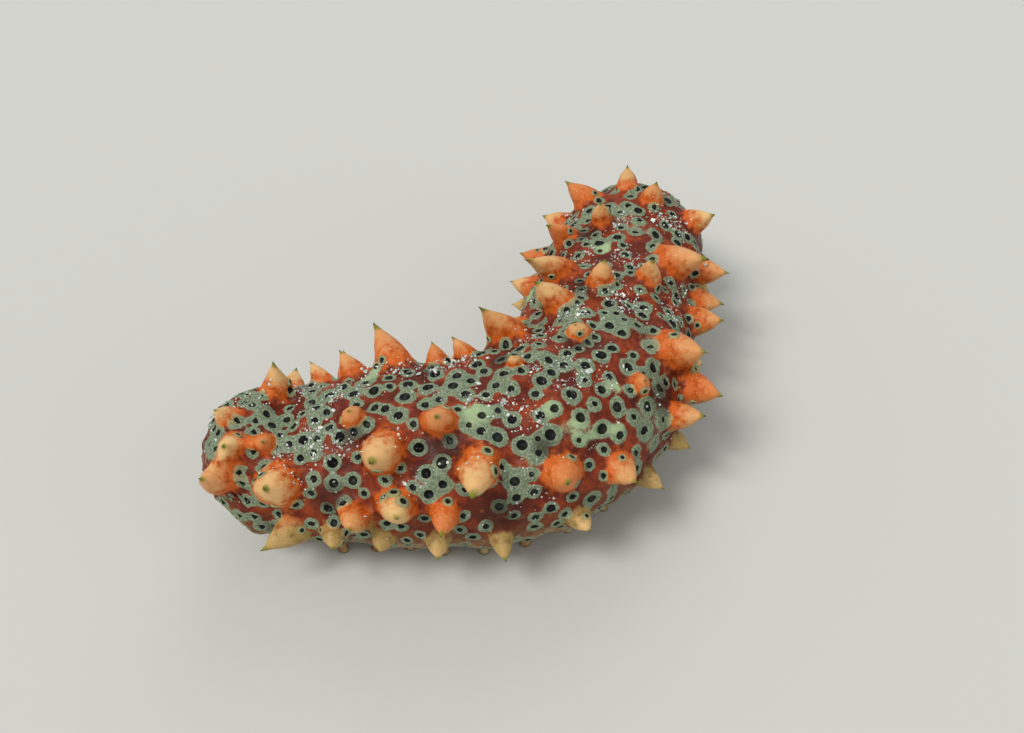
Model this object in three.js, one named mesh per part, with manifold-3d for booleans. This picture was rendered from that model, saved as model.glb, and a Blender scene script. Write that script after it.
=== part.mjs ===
import * as THREE from "three";
import { mergeVertices } from "three/addons/utils/BufferGeometryUtils.js";
import Module from "manifold-3d";

// A life-size sea cucumber, lying on its sole and bent through most of a right angle. Millimetres,
// +Z up. The front end, with the mouth underneath, points to -X; the hind body turns off to +Y.
// A place on the skin is (s, turn): s runs along the middle line from the front tip, and turn goes
// round the body in degrees, 0 on the back, positive to the animal's right, 180 on the sole.

const wasm = await Module();
wasm.setup();

// The middle line.
const LENGTH = 144;
const START = { x: -51.67, y: -29.58 };
const BENDS = [
  { turn: 80, from: 39, to: 92 },
  { turn: -14, from: 96, to: 144 },
];
const LINE_STEP = 0.5;

// The trunk: half its width at each station, its rise above and drop below the middle line as
// shares of that, and its round ends.
const GIRTH = [
  { s: 0, half: 12.6 },
  { s: 14, half: 14.2 },
  { s: 34, half: 17.2 },
  { s: 58, half: 18.8 },
  { s: 82, half: 18.0 },
  { s: 102, half: 17.0 },
  { s: 124, half: 16.2 },
  { s: 144, half: 14.2 },
];
const HEIGHT_SHARE = 0.9;
const BELLY_SHARE = 0.83;
const FRONT_CAP = 12;
const REAR_CAP = 16;
const CAP_POWER = 2.2;
const NECK = { s: 15.5, depth: 0.05, reach: 2.6 };

// The sole is flat and stands on its tube feet. The front end lifts off the ground.
const SOLE_SINK = 0.1;
const FOOT_HEIGHT = 1.4;
const FRONT_LIFT = { rise: 4.5, over: 26, power: 1.6 };

// Where the trunk is divided, and the gap that the divided lengths keep.
const LENGTHS = [
  { name: "front_end", from: 0, to: 17.2 },
  { name: "fore_body", from: 17.2, to: 40.5 },
  { name: "mid_body", from: 40.5, to: 57.5 },
  { name: "bend", from: 57.5, to: 78 },
  { name: "hind_body", from: 78, to: 99.5 },
  { name: "rear_body", from: 99.5, to: 122 },
  { name: "rear_end", from: 122, to: 144 },
];
const GAP = 0.3;
const SIDES = 28;
const RING_STEP = 3.2;
const CAP_RINGS = 6;

// The thorn-like papillae that are placed one by one: the place, root radius and height of each,
// how far its tip leans towards the front, and how far it leans round the body.
const PLACED_PAPILLAE = [
  { s: 6, turn: -62, root: 3.6, high: 8, lean: -0.2, side: 0.35 },
  { s: 6, turn: -4, root: 2.4, high: 4.5, lean: 0, side: -0.4 },
  { s: 7.5, turn: -32, root: 2.7, high: 5, lean: -0.2, side: -0.25 },
  { s: 12.8, turn: -27, root: 2.2, high: 3.8, lean: 0.1, side: -0.3 },
  { s: 13.5, turn: 26, root: 3, high: 7.5, lean: 0.3, side: -0.45 },
  { s: 16.5, turn: -58, root: 4.2, high: 8, lean: -0.15, side: 0.15 },
  { s: 18, turn: -98, root: 3.2, high: 6, lean: 0.7, side: 0 },
  { s: 21.5, turn: 41, root: 2.2, high: 4.6, lean: 0.4, side: 0 },
  { s: 25.2, turn: -96, root: 2.5, high: 4.6, lean: -0.2, side: 0.2 },
  { s: 27.5, turn: 40, root: 2.6, high: 5.6, lean: 0.3, side: -0.1 },
  { s: 29, turn: -14, root: 2.5, high: 4, lean: -0.1, side: -0.25 },
  { s: 29.6, turn: -79, root: 3, high: 6.5, lean: -0.1, side: 0.2 },
  { s: 34.5, turn: -38, root: 4.1, high: 8.5, lean: 0.06, side: -0.4 },
  { s: 35, turn: 42, root: 3.6, high: 8.6, lean: 0.4, side: 0.2 },
  { s: 36.6, turn: -71, root: 3.6, high: 7, lean: -0.2, side: 0.1 },
  { s: 43.2, turn: 33, root: 2.2, high: 4.6, lean: 0.1, side: -0.1 },
  { s: 44, turn: -22, root: 3.2, high: 5.5, lean: 0, side: -0.3 },
  { s: 49, turn: -50, root: 3.8, high: 9.5, lean: 0.16, side: -0.5 },
  { s: 58.5, turn: 8, root: 1.8, high: 3, lean: 0.3, side: -0.4 },
  { s: 58.5, turn: -63, root: 3.8, high: 6.5, lean: 0.3, side: 0 },
  { s: 67.5, turn: 44, root: 4, high: 9, lean: 0.7, side: -0.4 },
  { s: 73, turn: -44, root: 2.5, high: 3.6, lean: 0.4, side: 0.3 },
  { s: 75, turn: 4, root: 2.6, high: 3.6, lean: 0.6, side: 0 },
  { s: 82, turn: -49, root: 4.4, high: 9.5, lean: 0.5, side: -0.2 },
  { s: 82, turn: -79, root: 3.8, high: 8.5, lean: 0.7, side: 0.3 },
  { s: 85.5, turn: 28, root: 3.8, high: 8.5, lean: 0.45, side: 0.1 },
  { s: 86, turn: 62, root: 2, high: 3.8, lean: 0.6, side: 0 },
  { s: 93, turn: 5, root: 2.9, high: 6.5, lean: 0.2, side: -0.2 },
  { s: 98, turn: -26, root: 2.8, high: 6.5, lean: 0.45, side: 0.35 },
  { s: 98.5, turn: 34, root: 3.9, high: 9.5, lean: 0.8, side: 0.2 },
  { s: 99.5, turn: -76, root: 3.3, high: 7.5, lean: 0.6, side: 0.3 },
  { s: 108, turn: -40, root: 4.4, high: 9.5, lean: 0.6, side: -0.3 },
  { s: 112, turn: 40, root: 3, high: 6.8, lean: 0.6, side: 0 },
  { s: 116, turn: 16, root: 2.8, high: 6.5, lean: 0.45, side: -0.25 },
  { s: 117.5, turn: -73, root: 3.4, high: 8, lean: 0.3, side: 0 },
  { s: 127.5, turn: -12, root: 2.9, high: 5.8, lean: 0.3, side: 0 },
  { s: 130, turn: -50, root: 3.2, high: 7, lean: 0.5, side: 0 },
];

// Rows of papillae that fill the rest: the row's turn, its first and last place and its pitch
// along the body, the height and root radius of each, how far the tip leans, and the seed.
const PAPILLA_ROWS = [
  { turn: 43, sway: 6, first: 50, last: 137, pitch: 11.5, high: 7, root: 3.1, lean: 0.35, seed: 2 },
  { turn: 12, sway: 7, first: 121, last: 138, pitch: 11, high: 5, root: 2.6, lean: 0.3, seed: 4 },
  { turn: -75, sway: 4, first: 45, last: 137, pitch: 10.4, high: 6.6, root: 3.0, lean: 0.1, seed: 5 },
  { turn: 75, sway: 5, first: 14, last: 137, pitch: 11.2, high: 6.4, root: 2.9, lean: 0.1, seed: 6 },
  { turn: -102, sway: 3, first: 34, last: 134, pitch: 8.8, high: 4.6, root: 2.4, lean: 0, seed: 7 },
  { turn: 102, sway: 4, first: 14.5, last: 134, pitch: 8.8, high: 4.6, root: 2.4, lean: 0, seed: 8 },
];
const ROW_ROOM = 0.8;
const PAPILLA_SIDES = 7;
const PAPILLA_SINK = 1.8;
const PAPILLA_PROFILE = [
  { out: 1.0, up: 0 },
  { out: 0.86, up: 0.26 },
  { out: 0.57, up: 0.56 },
  { out: 0.22, up: 0.84 },
];
const CURL_POWER = 1.6;
const CUT_CLEARANCE = 0.6;
const GUARD_REACH = 4.6;
const CROWDED_SHARE = 0.35;

// Tube feet: three bands of suckers on the sole.
const FOOT_BANDS = [
  { turn: 180, first: 24, pitch: 5.4, seed: 11 },
  { turn: 147, first: 22, pitch: 6.2, seed: 12 },
  { turn: 213, first: 25, pitch: 6.2, seed: 13 },
];
const FOOT = { stem: 0.62, disc: 1.05, discHigh: 0.45, sink: 0.9, sides: 6, wander: 1.1, end: 13 };

// The mouth lies under the front end, facing forwards and down, and the vent is at the rear tip.
const MOUTH = { s: 5.6, high: 10.4, tilt: 58, lip: 6.0, hole: 4.1, lipHigh: 1.7, sides: 22 };
const LIP_ARC = { steps: 6, base: 0.4 };
const CROWN = { radius: 3.7, thick: 0.9, pit: 1.1, pitDeep: 0.5, sides: 20 };
const TENTACLES = { count: 18, ring: 2.75, stem: 0.36, shield: 0.62, long: 2.3, splay: 24, sides: 5 };
const VENT = { s: 141.8, high: 18.2, tilt: 14, rim: 3.7, hole: 1.5, rimHigh: 1.3, sides: 20 };
const SHAVE = { beyond: 4, deep: 30 };
const VENT_PAPILLAE = { count: 5, ring: 2.7, radius: 0.62, long: 1.7, sides: 6 };

const COLOURS = {
  skin: { color: 0xb8431a, roughness: 0.5, metalness: 0 },
  pale: { color: 0xb9a98a, roughness: 0.5, metalness: 0 },
  mouth: { color: 0xc9b27c, roughness: 0.45, metalness: 0 },
};

const radians = THREE.MathUtils.degToRad;
const { clamp, lerp } = THREE.MathUtils;

// A repeatable number from 0 to 1 for the i-th thing of a seeded row.
function draw(i, seed) {
  const v = Math.sin(i * 12.9898 + seed * 78.233) * 43758.5453;
  return v - Math.floor(v);
}

// How fast the heading's ramp rises, from 0 to 1, with no kink at its ends.
function ramp(t) {
  const u = clamp(t, 0, 1);
  return u * u * (3 - 2 * u);
}

function headingAt(s) {
  return radians(BENDS.reduce((sum, b) => sum + b.turn * ramp((s - b.from) / (b.to - b.from)), 0));
}

// The middle line, walked in small steps from the front tip.
const LINE = [{ x: START.x, y: START.y }];
for (let s = 0; s < LENGTH; s += LINE_STEP) {
  const h = headingAt(s + LINE_STEP / 2);
  const last = LINE[LINE.length - 1];
  LINE.push({ x: last.x + LINE_STEP * Math.cos(h), y: last.y + LINE_STEP * Math.sin(h) });
}

function lineAt(s) {
  const f = clamp(s, 0, LENGTH) / LINE_STEP;
  const i = Math.min(Math.floor(f), LINE.length - 2);
  return {
    x: lerp(LINE[i].x, LINE[i + 1].x, f - i),
    y: lerp(LINE[i].y, LINE[i + 1].y, f - i),
  };
}

// Half the trunk's width at s, without its round ends.
function plainHalf(s) {
  const i = Math.max(1, GIRTH.findIndex((g) => g.s >= s));
  const [a, b] = [GIRTH[i - 1], GIRTH[i]];
  const neck = 1 - NECK.depth * Math.exp(-(((s - NECK.s) / NECK.reach) ** 2));
  return lerp(a.half, b.half, (s - a.s) / (b.s - a.s)) * neck;
}

// From 0 at a tip to 1 past its cap, as a rounded end.
function capShare(fromTip, cap) {
  return Math.sqrt(1 - (1 - clamp(fromTip / cap, 0, 1)) ** CAP_POWER);
}

function halfAt(s) {
  return plainHalf(s) * capShare(s, FRONT_CAP) * capShare(LENGTH - s, REAR_CAP);
}

function liftAt(s) {
  return FRONT_LIFT.rise * clamp(1 - s / FRONT_LIFT.over, 0, 1) ** FRONT_LIFT.power;
}

// A point of the skin in millimetres, or of a skin that lies further out by a clearance.
function skinAt(s, turn, clearance = 0) {
  const { x, y } = lineAt(s);
  const h = headingAt(s);
  const a = radians(turn);
  const half = halfAt(s);
  const belly = BELLY_SHARE * plainHalf(clamp(s, FRONT_CAP, LENGTH - REAR_CAP));
  const middle = FOOT_HEIGHT - SOLE_SINK + belly + liftAt(s);
  const across = (half + clearance) * Math.sin(a);
  const rise = (half * HEIGHT_SHARE + clearance) * Math.cos(a);
  const z = Math.max(middle + rise, FOOT_HEIGHT + liftAt(s) - clearance);
  return new THREE.Vector3(x - across * Math.sin(h), y + across * Math.cos(h), z);
}

// The skin's outward direction, the way along the body and the way round it, at a place.
function skinFrame(s, turn) {
  const d = 0.4;
  const along = skinAt(s + d, turn).sub(skinAt(s - d, turn)).normalize();
  const round = skinAt(s, turn + d).sub(skinAt(s, turn - d)).normalize();
  const out = along.clone().cross(round).normalize();
  return { out, along, round };
}

// A closed geometry as a solid: vertices merged, collapsed triangles dropped, faces turned out.
function solidOf(geometry) {
  const bare = new THREE.BufferGeometry().setAttribute("position", geometry.getAttribute("position"));
  if (geometry.index) bare.setIndex(geometry.index);
  const merged = mergeVertices(bare, 1e-4);
  const from = merged.index.array;
  const kept = [];
  for (let i = 0; i < from.length; i += 3) {
    const [a, b, c] = [from[i], from[i + 1], from[i + 2]];
    if (a !== b && b !== c && a !== c) kept.push(a, b, c);
  }
  const build = (triangles) =>
    new wasm.Manifold(
      new wasm.Mesh({
        numProp: 3,
        vertProperties: Float32Array.from(merged.attributes.position.array),
        triVerts: Uint32Array.from(triangles),
      }),
    );
  const made = build(kept);
  if (made.volume() > 0) return made;
  for (let i = 0; i < kept.length; i += 3) [kept[i + 1], kept[i + 2]] = [kept[i + 2], kept[i + 1]];
  return build(kept);
}

// The largest closed body of a solid, as a named mesh.
function meshOf(name, solid, look) {
  const largest = solid.decompose().reduce((best, one) => (one.volume() > best.volume() ? one : best));
  const { vertProperties, triVerts, numProp, numVert } = largest.getMesh();
  const points = new Float32Array(numVert * 3);
  for (let i = 0; i < numVert; i++) {
    points.set(vertProperties.subarray(i * numProp, i * numProp + 3), i * 3);
  }
  const geometry = new THREE.BufferGeometry()
    .setAttribute("position", new THREE.BufferAttribute(points, 3))
    .setIndex(new THREE.BufferAttribute(Uint32Array.from(triVerts), 1));
  geometry.computeVertexNormals();
  const mesh = new THREE.Mesh(geometry, new THREE.MeshStandardMaterial(look));
  mesh.name = name;
  return mesh;
}

// Where the rings of one length of the trunk stand: closer together on a round end.
function ringPlaces(from, to) {
  const places = [];
  const capEase = (i) => 1 - Math.cos((i / CAP_RINGS) * (Math.PI / 2));
  if (from === 0) for (let i = 0; i < CAP_RINGS; i++) places.push(FRONT_CAP * capEase(i));
  const start = from === 0 ? FRONT_CAP : from;
  const end = to === LENGTH ? LENGTH - REAR_CAP : to;
  const steps = Math.ceil((end - start) / RING_STEP);
  for (let i = 0; i <= steps; i++) places.push(lerp(start, end, i / steps));
  if (to === LENGTH) for (let i = CAP_RINGS - 1; i >= 0; i--) places.push(LENGTH - REAR_CAP * capEase(i));
  return places;
}

// One plain length of the trunk: a cylinder whose vertices are moved onto the skin.
function trunkLength(from, to, clearance = 0) {
  const places = ringPlaces(from, to);
  const drum = new THREE.CylinderGeometry(1, 1, 1, SIDES, places.length - 1);
  const position = drum.getAttribute("position");
  for (let i = 0; i < position.count; i++) {
    const row = Math.round((0.5 - position.getY(i)) * (places.length - 1));
    const s = places[row];
    const rim = Math.hypot(position.getX(i), position.getZ(i)) > 0.5;
    const turn = THREE.MathUtils.radToDeg(Math.atan2(position.getX(i), position.getZ(i)));
    const top = skinAt(s, 0);
    const sole = skinAt(s, 180);
    const p = rim ? skinAt(s, turn, clearance) : top.add(sole).multiplyScalar(0.5);
    position.setXYZ(i, p.x, p.y, p.z);
  }
  return solidOf(drum);
}

// How much longer the body is at this place of its skin than along its middle line.
function stretchAt(s, turn) {
  const bend = (headingAt(s + 1) - headingAt(s - 1)) / 2;
  return Math.max(0.3, 1 - bend * halfAt(s) * Math.sin(radians(turn)));
}

// A place moved along the body until a root of that radius stands clear of the cuts beside it.
function clearOfCuts(s, turn, root) {
  const length = LENGTHS.find((one) => s < one.to) ?? LENGTHS[LENGTHS.length - 1];
  const reach = (root + CUT_CLEARANCE) / stretchAt(s, turn);
  const low = length.from === 0 ? 0 : length.from + reach;
  const high = length.to === LENGTH ? LENGTH : length.to - reach;
  return low < high ? clamp(s, low, high) : (low + high) / 2;
}

// Whether a papilla's root stands clear of the roots of all the others.
function hasRoom(one, others) {
  const foot = skinAt(one.s, one.turn);
  return others.every((other) => {
    const apart = foot.distanceTo(skinAt(other.s, other.turn));
    return apart > one.root + other.root + ROW_ROOM;
  });
}

// Every papilla: the placed ones, then those of the rows that find room. Where the bend crowds the
// skin together a row's papillae stand further apart along the middle line, and are smaller.
function papillae() {
  const found = [...PLACED_PAPILLAE];
  for (const row of PAPILLA_ROWS) {
    let place = row.first;
    for (let i = 0; place < row.last; i++) {
      const turn = row.turn + row.sway * (2 * draw(i, row.seed + 20) - 1);
      const room = Math.min(1, stretchAt(place, turn));
      const share = Math.min(1, CROWDED_SHARE + (1 - CROWDED_SHARE) * room);
      const wanted = place + 0.3 * (draw(i, row.seed + 40) - 0.5) * row.pitch;
      const root = row.root * share * (0.9 + 0.2 * draw(i, row.seed + 60));
      const one = {
        s: clearOfCuts(wanted, turn, root),
        turn,
        root,
        high: row.high * share * (0.8 + 0.4 * draw(i, row.seed)),
        lean: row.lean * (0.6 + 0.8 * draw(i, row.seed + 80)),
        side: 0.3 * (2 * draw(i, row.seed + 100) - 1),
      };
      if (hasRoom(one, found)) found.push(one);
      place += row.pitch / room;
    }
  }
  return found;
}

// A lathe turned about +Z, with its vertices then moved by a function.
function turned(profile, sides, move) {
  const lathe = new THREE.LatheGeometry(profile.map(([r, z]) => new THREE.Vector2(r, z)), sides);
  const position = lathe.getAttribute("position");
  for (let i = 0; i < position.count; i++) {
    const p = move(position.getX(i), -position.getZ(i), position.getY(i));
    position.setXYZ(i, p.x, p.y, p.z);
  }
  return solidOf(lathe);
}

// One papilla: a hollow-sided cone whose tip curls over, rooted in the skin.
function papillaSolid({ s, turn, root, high, lean, side }) {
  const foot = skinAt(s, turn);
  const { out, along, round } = skinFrame(s, turn);
  const profile = [
    [0, -PAPILLA_SINK],
    [root, -PAPILLA_SINK],
    ...PAPILLA_PROFILE.map((p) => [p.out * root, p.up * high]),
    [0, high],
  ];
  return turned(profile, PAPILLA_SIDES, (x, y, z) => {
    const curl = high * (Math.max(z, 0) / high) ** CURL_POWER;
    return foot
      .clone()
      .addScaledVector(along, x - lean * curl)
      .addScaledVector(round, y + side * curl)
      .addScaledVector(out, z);
  });
}

// Every tube foot's place on the sole.
function tubeFeet() {
  const feet = [];
  for (const band of FOOT_BANDS) {
    for (let i = 0; band.first + i * band.pitch < LENGTH - FOOT.end; i++) {
      const shift = FOOT.wander * (2 * draw(i, band.seed) - 1);
      const s = clearOfCuts(band.first + i * band.pitch, 180, FOOT.disc);
      const across = halfAt(s) * Math.sin(radians(band.turn)) + shift;
      feet.push({ s, across });
    }
  }
  return feet;
}

// One tube foot: a stem under the sole that ends in a sucker flat on the ground.
function footSolid({ s, across }) {
  const { x, y } = lineAt(s);
  const h = headingAt(s);
  const profile = [
    [0, 0],
    [FOOT.disc, 0],
    [FOOT.disc, FOOT.discHigh],
    [FOOT.stem, FOOT.discHigh * 1.6],
    [FOOT.stem, FOOT_HEIGHT + FOOT.sink],
    [0, FOOT_HEIGHT + FOOT.sink],
  ];
  const centre = new THREE.Vector3(x - across * Math.sin(h), y + across * Math.cos(h), 0);
  return turned(profile, FOOT.sides, (px, py, pz) => new THREE.Vector3(px, py, pz).add(centre));
}

// The frame of an opening at an end of the body: its centre, and the way it faces.
function openingFrame({ s, high, tilt }, forwards, downwards) {
  const { x, y } = lineAt(s);
  const h = headingAt(s) + (forwards ? Math.PI : 0);
  const level = Math.cos(radians(tilt));
  const out = new THREE.Vector3(level * Math.cos(h), level * Math.sin(h), downwards * Math.sin(radians(tilt)));
  const across = new THREE.Vector3(-Math.sin(h), Math.cos(h), 0);
  return { centre: new THREE.Vector3(x, y, high), out, across, up: out.clone().cross(across) };
}

function placeOn({ centre, out, across, up }) {
  return (x, y, z) =>
    centre.clone().addScaledVector(across, x).addScaledVector(up, y).addScaledVector(out, z);
}

const mouthFrame = openingFrame(MOUTH, true, -1);
const ventFrame = openingFrame(VENT, false, 1);

// A wide drum that shaves the trunk flat where a mouth or vent sits.
function shaveSolid(frame, radius) {
  const profile = [
    [0, -GAP],
    [radius, -GAP],
    [radius, SHAVE.deep],
    [0, SHAVE.deep],
  ];
  return turned(profile, SIDES, placeOn(frame));
}

// The fleshy lip round the mouth: a ring with a rounded top, open through the middle.
function mouthLips() {
  const profile = [];
  const middle = (MOUTH.lip + MOUTH.hole) / 2;
  const wide = (MOUTH.lip - MOUTH.hole) / 2;
  for (let i = 0; i <= LIP_ARC.steps; i++) {
    const a = (Math.PI * i) / LIP_ARC.steps;
    const rise = (MOUTH.lipHigh - LIP_ARC.base) * Math.sin(a);
    profile.push([middle + wide * Math.cos(a), LIP_ARC.base + rise]);
  }
  profile.push([MOUTH.hole, 0], [MOUTH.lip, 0], profile[0]);
  return turned(profile, MOUTH.sides, placeOn(mouthFrame));
}

// The disc inside the lips, with its pit and the ring of short shield-ended tentacles.
function tentacleCrown() {
  const disc = turned(
    [
      [0, 0],
      [CROWN.radius, 0],
      [CROWN.radius, CROWN.thick],
      [CROWN.pit, CROWN.thick],
      [0, CROWN.thick - CROWN.pitDeep],
    ],
    CROWN.sides,
    placeOn(mouthFrame),
  );
  const place = placeOn(mouthFrame);
  const parts = [disc];
  for (let i = 0; i < TENTACLES.count; i++) {
    const a = (2 * Math.PI * (i + 0.25 * draw(i, 31))) / TENTACLES.count;
    const inner = i % 2 ? TENTACLES.ring : TENTACLES.ring * 0.68;
    const long = TENTACLES.long * (0.85 + 0.3 * draw(i, 32));
    const profile = [
      [0, -0.5],
      [TENTACLES.stem, -0.5],
      [TENTACLES.stem * 0.85, long * 0.55],
      [TENTACLES.shield, long * 0.8],
      [TENTACLES.shield * 0.6, long],
      [0, long * 0.93],
    ];
    const splay = Math.tan(radians(i % 2 ? TENTACLES.splay : TENTACLES.splay * 0.2));
    parts.push(
      turned(profile, TENTACLES.sides, (x, y, z) => {
        const out = inner + x + splay * Math.max(z, 0) * 0.35;
        return place(
          out * Math.cos(a) - y * Math.sin(a),
          out * Math.sin(a) + y * Math.cos(a),
          CROWN.thick + z,
        );
      }),
    );
  }
  return wasm.Manifold.union(parts);
}

// The puckered rim of the vent, with five small papillae round its hole.
function ventRim() {
  const place = placeOn(ventFrame);
  const ring = turned(
    [
      [VENT.hole, 0],
      [VENT.rim, 0],
      [VENT.rim * 0.86, VENT.rimHigh * 0.7],
      [VENT.rim * 0.66, VENT.rimHigh],
      [VENT.hole, VENT.rimHigh * 0.6],
      [VENT.hole, 0],
    ],
    VENT.sides,
    place,
  );
  const parts = [ring];
  for (let i = 0; i < VENT_PAPILLAE.count; i++) {
    const a = (2 * Math.PI * i) / VENT_PAPILLAE.count;
    const profile = [
      [0, 0.3],
      [VENT_PAPILLAE.radius, 0.3],
      [VENT_PAPILLAE.radius * 0.7, VENT.rimHigh + VENT_PAPILLAE.long * 0.5],
      [0, VENT.rimHigh + VENT_PAPILLAE.long],
    ];
    parts.push(
      turned(profile, VENT_PAPILLAE.sides, (x, y, z) => {
        const out = VENT_PAPILLAE.ring + x;
        return place(out * Math.cos(a) - y * Math.sin(a), out * Math.sin(a) + y * Math.cos(a), z);
      }),
    );
  }
  return wasm.Manifold.union(parts);
}

// The divided lengths of the trunk, each joined with the papillae and tube feet that it carries.
const allPapillae = papillae();
const allFeet = tubeFeet();
const openingClear = (p, frame, radius) =>
  skinAt(p.s, p.turn).distanceTo(frame.centre) > radius + p.root;

function bodyLength({ name, from, to }) {
  const start = from === 0 ? 0 : from + GAP / 2;
  const end = to === LENGTH ? LENGTH : to - GAP / 2;
  let plain = trunkLength(start, end);
  if (from === 0) plain = plain.subtract(shaveSolid(mouthFrame, MOUTH.lip + SHAVE.beyond));
  if (to === LENGTH) plain = plain.subtract(shaveSolid(ventFrame, VENT.rim + SHAVE.beyond));
  const carried = allPapillae
    .filter((p) => p.s >= from && p.s < to)
    .filter((p) => openingClear(p, mouthFrame, MOUTH.lip) && openingClear(p, ventFrame, VENT.rim));
  const feet = allFeet.filter((f) => f.s >= from && f.s < to);
  let grown = wasm.Manifold.union([...carried.map(papillaSolid), ...feet.map(footSolid)]);
  if (from > 0) grown = grown.subtract(trunkLength(from - GUARD_REACH, from + GAP / 2, GAP));
  if (to < LENGTH) grown = grown.subtract(trunkLength(to - GAP / 2, to + GUARD_REACH, GAP));
  return meshOf(name, plain.add(grown), COLOURS.skin);
}

const seaCucumber = new THREE.Group();
for (const length of LENGTHS) seaCucumber.add(bodyLength(length));
seaCucumber.add(meshOf("mouth_lips", mouthLips(), COLOURS.pale));
seaCucumber.add(meshOf("tentacle_crown", tentacleCrown(), COLOURS.mouth));
seaCucumber.add(meshOf("vent_rim", ventRim(), COLOURS.pale));

export default seaCucumber;
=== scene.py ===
"""A life-size museum model of a sea cucumber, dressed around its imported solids.

Sizes in the classes are millimetres; meshes are written in metres. A place on the skin is
(s, turn): s runs along the middle line from the front tip, and turn goes round the body in degrees,
0 on the back, positive to the animal's right, 180 on the sole.
"""

import logging
import math
from dataclasses import dataclass, field
from enum import Enum

import bpy
import numpy as np
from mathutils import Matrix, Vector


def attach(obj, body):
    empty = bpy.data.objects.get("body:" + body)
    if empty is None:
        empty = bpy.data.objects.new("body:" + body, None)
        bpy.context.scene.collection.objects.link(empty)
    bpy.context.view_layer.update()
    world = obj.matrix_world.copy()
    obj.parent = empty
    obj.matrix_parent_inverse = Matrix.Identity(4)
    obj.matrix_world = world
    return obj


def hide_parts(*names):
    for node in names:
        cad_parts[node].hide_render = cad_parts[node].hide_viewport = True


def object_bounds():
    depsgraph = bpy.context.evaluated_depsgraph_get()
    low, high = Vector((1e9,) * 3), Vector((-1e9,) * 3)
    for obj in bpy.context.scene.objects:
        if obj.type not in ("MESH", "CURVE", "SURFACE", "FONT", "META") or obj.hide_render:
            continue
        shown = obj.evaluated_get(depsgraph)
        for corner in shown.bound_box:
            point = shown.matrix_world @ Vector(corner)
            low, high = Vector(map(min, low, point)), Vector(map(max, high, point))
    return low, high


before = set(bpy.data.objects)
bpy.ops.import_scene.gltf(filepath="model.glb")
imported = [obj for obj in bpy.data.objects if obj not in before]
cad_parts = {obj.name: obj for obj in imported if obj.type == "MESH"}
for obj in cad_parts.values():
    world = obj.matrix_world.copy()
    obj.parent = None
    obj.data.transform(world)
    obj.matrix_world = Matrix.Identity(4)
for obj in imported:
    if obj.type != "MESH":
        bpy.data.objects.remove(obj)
CAD_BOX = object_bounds()

LOG = logging.getLogger("sea_cucumber")
MM = 0.001
Array = np.ndarray
Piece = bpy.types.Object
Socket = bpy.types.NodeSocket


class Slot(Enum):
    """The record's material slots."""

    SKIN = "skin"
    PALE = "pale_skin"
    TENTACLES = "tentacles"


# ---- numbers and meshes


def draw(index: Array, seed: float) -> Array:
    """Gives a repeatable number from 0 to 1 for each index of a seeded row.

    Args:
        index: whole numbers that name the things of the row.
        seed: the row's seed.

    Returns:
        The fraction of 43758.5453 times the sine of 12.9898 index + 78.233 seed.
    """
    value = np.sin(np.asarray(index, float) * 12.9898 + seed * 78.233) * 43758.5453
    return value - np.floor(value)


def vary(least: float, more: float, index: int, seed: float) -> float:
    """Gives least plus a repeatable part of more."""
    return least + more * float(draw(index, seed))


def smooth(value: Array, low: float = 0.0, high: float = 1.0) -> Array:
    """Rises smoothly from 0 at low to 1 at high.

    Args:
        value: where to read the ramp.
        low: where the ramp starts.
        high: where the ramp ends.

    Returns:
        u u (3 - 2 u), with u the clamped share of the way.
    """
    u = np.clip((np.asarray(value, float) - low) / (high - low), 0.0, 1.0)
    return u * u * (3.0 - 2.0 * u)


def circle(count: int) -> Array:
    """Gives evenly spaced angles round a full turn, in radians."""
    return np.arange(count) * 2.0 * np.pi / count


def unit(vectors: Array) -> Array:
    """Scales vectors to length 1."""
    return vectors / np.linalg.norm(vectors, axis=-1, keepdims=True)


@dataclass(frozen=True)
class Ripple:
    """Smooth noise in space: its mean wavelength, how many waves it adds, and its seed."""

    wave: float
    count: int
    seed: int

    def at(self, points: Array) -> Array:
        """Gives the noise at points in space, without a seam.

        Args:
            points: places in millimetres, with x, y and z last.

        Returns:
            A sum of plane waves of random direction, length and phase, mostly between -1 and 1.
        """
        rng = np.random.default_rng(self.seed)
        way = unit(rng.normal(size=(self.count, 3)))
        rate = 2.0 * np.pi / (self.wave * rng.uniform(0.7, 1.5, self.count))
        phase = rng.uniform(0.0, 2.0 * np.pi, self.count)
        total = np.zeros(points.shape[:-1])
        for direction, speed, start in zip(way, rate, phase):
            total += np.sin(points @ direction * speed + start)
        return total / math.sqrt(self.count)


def grid_quads(rows: int, columns: int) -> Array:
    """Lists the quads of a grid that closes on itself across its columns.

    Args:
        rows: how many rings there are.
        columns: how many points each ring has.

    Returns:
        One row of four vertex numbers for each quad, outwards where the rings rise and turn left.
    """
    ring = np.arange(rows - 1)[:, None] * columns
    column = np.arange(columns)[None, :]
    following = (column + 1) % columns
    quads = [ring + column, ring + following, ring + columns + following, ring + columns + column]
    return np.stack(quads, axis=-1).reshape(-1, 4)


def capped_faces(rows: int, columns: int) -> list:
    """Lists a tube's quads, and a fan at each end round a middle point.

    Args:
        rows: how many rings there are.
        columns: how many points each ring has.

    Returns:
        The faces. The first ring's middle point follows the grid's points, then the last ring's.
    """
    column = np.arange(columns)
    following = (column + 1) % columns
    middle = rows * columns + 0 * column
    top = middle - columns
    first = np.stack([middle, following, column], axis=-1)
    last = np.stack([middle + 1, top + column, top + following], axis=-1)
    return grid_quads(rows, columns).tolist() + first.tolist() + last.tolist()


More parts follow.
